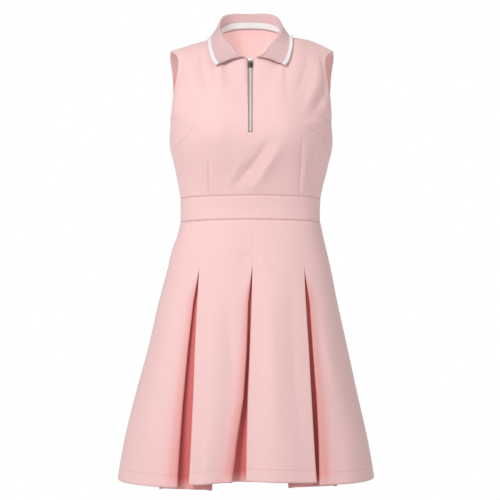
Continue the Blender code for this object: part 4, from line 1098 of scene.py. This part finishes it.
def knitMaterial(name, finish):
    made, tree, shader = newMaterial(name)
    edge = attribute(tree, "fromEdge")
    ribs, course = (
        mathNode(tree, "SINE", mathNode(tree, "MULTIPLY", way, 2 * math.pi / (finish[key] * 1000)))
        for way, key in ((attribute(tree, "rib"), "rib"), (edge, "course"))
    )
    height = mathNode(tree, "MULTIPLY_ADD", course, 0.25, mathNode(tree, "MULTIPLY_ADD", ribs, 0.5, 0.5))
    coords = addNode(tree, "ShaderNodeTexCoord")
    height = mathNode(tree, "MULTIPLY_ADD", addNoise(tree, coords.outputs["Object"], 900.0), 0.3, height)
    tipped = addNode(tree, "ShaderNodeMapRange")
    tipped.inputs["From Min"].default_value = finish["stripe"] - 0.25
    tipped.inputs["From Max"].default_value = finish["stripe"] + 0.25
    tree.links.new(edge, tipped.inputs["Value"])
    colour = mixColours(tree, tipped.outputs["Result"], finish["tipping"], finish["colour"])
    # Painted shade: the colour follows the height of the rib and courses, darker in their hollows; the noise in that
    # height adds random tone.
    colour = tonedColour(tree, colour, mathNode(tree, "MULTIPLY_ADD", height, 0.08, 0.94))
    tree.links.new(colour, shader.inputs["Base Color"])
    addBump(tree, shader, height, 0.00022)
    shader.inputs["Roughness"].default_value = finish["roughness"]
    shader.inputs["Sheen Weight"].default_value = finish["sheen"]
    shader.inputs["Specular IOR Level"].default_value = 0.25
    return made


def collar():
    s = collarSettings
    trees = [surfaceTree(frontPoints), surfaceTree(backPoints)]
    shares = np.linspace(0, 1, s["stations"] // 2 + 1)
    stations = [(a, -1) for a in shares[::-1]] + [(a, 1) for a in shares[1:]]
    lines = np.array([collarLine(a, side, trees) for a, side in stations])
    points = np.transpose(lines, (1, 0, 2))
    points = relaxed(points, s["standPoints"] + s["foldPoints"] - 1, 14)[:, ::-1]
    down = lengthsAlong(points, 0)
    fromEdge = down[-1][None, :] - down
    middle = lengthsAlong(points, 1)[s["standPoints"] + s["foldPoints"]]
    rib = np.broadcast_to(middle, fromEdge.shape)
    made = clothSheet("knit_collar", points, knitMaterial("pink_rib_knit", knitFinish), s["thickness"],
                      values={"rib": rib, "fromEdge": fromEdge})
    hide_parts("collar")


tapeSettings = {"bottom": 2.0, "width": 12.5, "end": 0.43, "thickness": 0.6, "rows": 7, "columns": 90, "knit": 1.8}


def tapeMaterial(name, colour, pitch):
    # narrow herringbone tape
    made, tree, shader = newMaterial(name)
    uv = addNode(tree, "ShaderNodeUVMap", uv_map="cloth")
    split = addNode(tree, "ShaderNodeSeparateXYZ")
    tree.links.new(uv.outputs[0], split.inputs[0])
    zigzag = mathNode(tree, "PINGPONG", split.outputs[1], 0.003)
    slanted = mathNode(tree, "ADD", split.outputs[0], zigzag)
    wave = mathNode(tree, "SINE", mathNode(tree, "MULTIPLY", slanted, 2 * math.pi / pitch))
    # Painted shade: the colour follows the herringbone's height, a little darker in its low threads.
    tone = tonedColour(tree, colour, mathNode(tree, "MULTIPLY_ADD", wave, 0.03, 0.96))
    tree.links.new(tone, shader.inputs["Base Color"])
    addBump(tree, shader, wave, 0.00015)
    shader.inputs["Roughness"].default_value = 0.7
    shader.inputs["Sheen Weight"].default_value = 0.15
    return made


def neckTape():
    t = tapeSettings
    half = np.linspace(0, t["end"], t["columns"] // 2)
    lines = []
    for share, side in [(a, -1) for a in half[::-1]] + [(a, 1) for a in half[1:]]:
        seam, top, _ = stand(share, side)
        length = np.linalg.norm(top - seam)
        width = min(t["width"], 0.62 * length)
        way = (top - seam) / length
        lines.append([(seam + way * (t["bottom"] + width * k)) * np.array([side, 1, 1])
                      for k in np.linspace(0, 1, t["rows"])])
    points = np.transpose(np.array(lines), (1, 0, 2))
    points = points + gridNormals(points) * (t["knit"] / 2 + t["thickness"] / 2 + form["seamGap"])
    made = clothSheet("inside_neck_tape", points, tapeMaterial("white_herringbone", (0.90, 0.89, 0.89), 0.0012),
                      t["thickness"])
    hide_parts("neck_tape")


collar()
neckTape()
print("collar and neck tape ready")


# Zip

zipSettings = {
    "tapeWidth": 26.0, "tapeThickness": 0.6, "tapeTop": -37.0, "tapeBottom": -193.0, "tapeIn": 1.3,
    "chainTop": -33.0, "chainBottom": -179.0, "chainIn": -0.1, "pitch": 1.5,
    "toothWidth": 3.0, "toothHeight": 0.95, "toothDepth": 1.3, "toothOffset": 0.75,
    "sliderCentre": -36.5, "sliderLength": 12.0, "sliderWidth": 9.6, "sliderFace": 1.1, "sliderTop": 2.5,
    "bailWidth": 2.0, "bailTunnel": 2.0, "bailStrap": 0.8, "bailAt": 3.1, "bailReach": 2.1,
    "pullLength": 14.0, "pullWidth": 7.4, "pullThickness": 1.3, "rodRadius": 0.55, "pullTilt": 4.0,
    "windowEnd": 4.2, "gripStart": 5.6, "gripRim": 1.4, "pullCorner": 1.35,
    "pivot": (0.0, -73.31, -37.59),
}


def chestPoint(z, x):
    # point of the front cloth at a height and a small distance from the centre
    side = 1 if x >= 0 else -1
    columns = range(middleColumn + side, middleColumn + 22 * side, side)
    rows = slice(bodiceSettings["lowRows"] // 3, None)
    xs = [abs(np.interp(z, frontPoints[rows, c, 2], frontPoints[rows, c, 0])) for c in columns]
    ys = [np.interp(z, frontPoints[rows, c, 2], frontPoints[rows, c, 1]) for c in columns]
    return np.array([x, np.interp(abs(x), xs, ys), z])


def chestWays(z):
    down = chestPoint(z - 5, 0) - chestPoint(z + 5, 0)
    down /= np.linalg.norm(down)
    return down, np.array([0.0, down[2], -down[1]])


def zipStrip(name, node, material, width, top, bottom, inward, thickness, columns):
    rows = []
    for z in np.arange(bottom, top, 3.0):
        out = chestWays(z)[1]
        rows.append([chestPoint(z, x) - out * inward for x in np.linspace(-width / 2, width / 2, columns)])
    made = clothSheet(name, np.array(rows), material, thickness)
    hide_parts(node)


def hardPiece(name, bm, material, body, node):
    bmesh.ops.recalc_face_normals(bm, faces=bm.faces[:])
    made = newPiece(name, bm, material)
    made.data.set_sharp_from_angle(angle=math.radians(40))
    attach(made, body)
    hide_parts(node)


def metalMaterial(name, colour, roughness, metallic):
    made, tree, shader = newMaterial(name)
    coords = addNode(tree, "ShaderNodeTexCoord")
    grain = addNoise(tree, coords.outputs["Object"], 420.0, 4.0)
    tone = tonedColour(tree, colour, mathNode(tree, "MULTIPLY_ADD", grain, 0.16, 0.92))
    tree.links.new(tone, shader.inputs["Base Color"])
    tree.links.new(mathNode(tree, "MULTIPLY_ADD", grain, 0.16, roughness - 0.08), shader.inputs["Roughness"])
    addBump(tree, shader, grain, 0.00003)
    shader.inputs["Metallic"].default_value = metallic
    return made


def sharpEdges(bm, angle=30.0):
    return [e for e in bm.edges if len(e.link_faces) == 2 and e.calc_face_angle(0.0) > math.radians(angle)]


def setInFrame(bm, verts, centre, across, down, out):
    # from (across, down, out) in millimetres to the place on the chest
    for v in verts:
        p = v.co.copy()
        v.co = Vector((np.array(centre) + across * p.x + down * p.y + out * p.z) * mm)


def zipTeeth(material):
    s = zipSettings
    bm = bmesh.new()
    z, side = s["chainTop"], 1
    right = np.array([1.0, 0.0, 0.0])
    while z > s["chainBottom"]:
        down, out = chestWays(z)
        tooth = bmesh.ops.create_cube(bm, size=1)["verts"]
        for v in tooth:
            head = 0.72 if v.co.x * side < 0 else 1.0
            v.co = Vector((v.co.x * s["toothWidth"], v.co.y * s["toothHeight"] * head, v.co.z * s["toothDepth"]))
            v.co.x += side * s["toothOffset"]
        setInFrame(bm, tooth, chestPoint(z, 0) - out * s["chainIn"], right, down, out)
        z, side = z - s["pitch"] / 2, -side
    bmesh.ops.bevel(bm, geom=bm.edges[:], offset=0.2 * mm, segments=1, profile=0.5, affect="EDGES", material=-1)
    hardPiece("zip_teeth", bm, material, "dress", "zip_chain")


def zipSlider(material):
    s = zipSettings
    down, out = chestWays(s["sliderCentre"])
    half, face, top = s["sliderLength"] / 2, s["sliderFace"], s["sliderTop"]
    pivot = np.array(s["pivot"])
    centre = pivot - down * (half - s["bailAt"]) - out * (top + s["bailTunnel"] / 2)
    bm = bmesh.new()
    plate = bmesh.ops.create_grid(bm, x_segments=6, y_segments=10, size=1)["verts"]
    for v in plate:
        share = (v.co.y + 1) / 2
        waist = 1 - 0.26 * smoothStep(share) - 0.05 * math.sin(math.pi * share)
        width = s["sliderWidth"] / 2 * waist * math.sqrt(max(0.0, 1 - (2 * abs(share - 0.5)) ** 6 * 0.45))
        crown = 0.25 * (v.co.x**2 + v.co.y**2) + 0.1
        v.co = Vector((v.co.x * width, (share - 0.5) * s["sliderLength"], top - crown))
    made = bmesh.ops.extrude_face_region(bm, geom=bm.faces[:])
    for v in made["geom"]:
        if isinstance(v, bmesh.types.BMVert):
            v.co.z = face
    bmesh.ops.bevel(bm, geom=sharpEdges(bm, 50), offset=0.3, segments=2, profile=0.5, affect="EDGES", material=-1)
    known = set(bm.verts)
    strip = bmesh.ops.create_grid(bm, x_segments=2, y_segments=16, size=1)["verts"]
    for v in strip:
        share = (v.co.y + 1) / 2
        turn = math.pi * share
        run = half - s["bailAt"] - s["bailReach"] * math.cos(turn)
        rise = top - 0.5 + (s["bailTunnel"] + 0.5) * min(1.0, 1.35 * math.sin(turn)) ** 0.8
        v.co = Vector((v.co.x * s["bailWidth"] / 2 * (0.86 + 0.14 * abs(math.cos(turn))), run, rise))
    strap = [f for f in bm.faces if all(v not in known for v in f.verts)]
    bmesh.ops.solidify(bm, geom=strap, thickness=-s["bailStrap"])
    bmesh.ops.recalc_face_normals(bm, faces=bm.faces[:])
    rim = [e for e in sharpEdges(bm, 60) if all(v not in known for v in e.verts)]
    bmesh.ops.bevel(bm, geom=rim, offset=0.15, segments=1, profile=0.5, affect="EDGES", material=-1)
    setInFrame(bm, bm.verts, centre, np.array([1.0, 0.0, 0.0]), down, out)
    hardPiece("zip_slider_body", bm, material, "dress", "zip_slider")


def zipPull(material):
    s = zipSettings
    along, away = chestWays(s["sliderCentre"])
    tilt = math.radians(s["pullTilt"])
    down = along * math.cos(tilt) - away * math.sin(tilt)
    out = away * math.cos(tilt) + along * math.sin(tilt)
    half, window, rod = s["pullWidth"] / 2, s["bailWidth"] / 2 + 0.7, s["rodRadius"]
    acrossAt = (-half, -window, window, half)
    downAt = (-rod, rod, s["windowEnd"], s["gripStart"], s["pullLength"] - s["gripRim"], s["pullLength"])
    bm = bmesh.new()
    bmesh.ops.create_grid(bm, x_segments=3, y_segments=5, size=1)
    for v in bm.verts:
        c, r = round((v.co.x + 1) / 2 * 3), round((v.co.y + 1) / 2 * 5)
        v.co = Vector((acrossAt[c], downAt[r], rod if r < 2 else s["pullThickness"] / 2))
    hole = [f for f in bm.faces
            if abs(f.calc_center_median().x) < 0.1 and rod < f.calc_center_median().y < s["windowEnd"]]
    bmesh.ops.delete(bm, geom=hole, context="FACES")
    made = bmesh.ops.extrude_face_region(bm, geom=bm.faces[:])
    for v in made["geom"]:
        if isinstance(v, bmesh.types.BMVert):
            v.co.z = -v.co.z
    corners = [e for e in bm.edges if abs(e.verts[0].co.z - e.verts[1].co.z) > 0.5
               and all(abs(v.co.x) > half - 0.1 and v.co.y > s["pullLength"] - 0.1 for v in e.verts)]
    bmesh.ops.bevel(bm, geom=corners, offset=s["pullCorner"], segments=4, profile=0.5, affect="EDGES", material=-1)
    grip = [f for f in bm.faces if f.normal.length and abs(f.normal.z) > 0.9 and f.calc_center_median().z > 0
            and s["gripStart"] < f.calc_center_median().y < s["pullLength"] - s["gripRim"]
            and abs(f.calc_center_median().x) < 0.5]
    bm.normal_update()
    bmesh.ops.inset_region(bm, faces=grip, thickness=0.35, depth=-0.25)
    bmesh.ops.bevel(bm, geom=sharpEdges(bm, 50), offset=0.16, segments=2, profile=0.5, affect="EDGES", material=-1)
    setInFrame(bm, bm.verts, s["pivot"], np.array([1.0, 0.0, 0.0]), down, out)
    hardPiece("zip_pull_tab", bm, material, "pull_tab", "zip_pull")


# The zip tape is coloured a dark grey that stands in for the shadow in the gaps beside the teeth: painted shadow on a
# real tape.
zipCloth = tapeMaterial("zip_tape_shadow_grey", (0.46, 0.40, 0.39), 0.0009)
zipStrip("zip_backing", "zip_tape", zipCloth, zipSettings["tapeWidth"], zipSettings["tapeTop"],
         zipSettings["tapeBottom"], zipSettings["tapeIn"], zipSettings["tapeThickness"], 9)
silver = metalMaterial("zip_silver_metal", (0.86, 0.83, 0.77), 0.38, 0.35)
zipTeeth(silver)
zipSlider(silver)
zipPull(metalMaterial("zip_pull_enamel", (0.030, 0.027, 0.027), 0.42, 0.2))
print("zip ready")
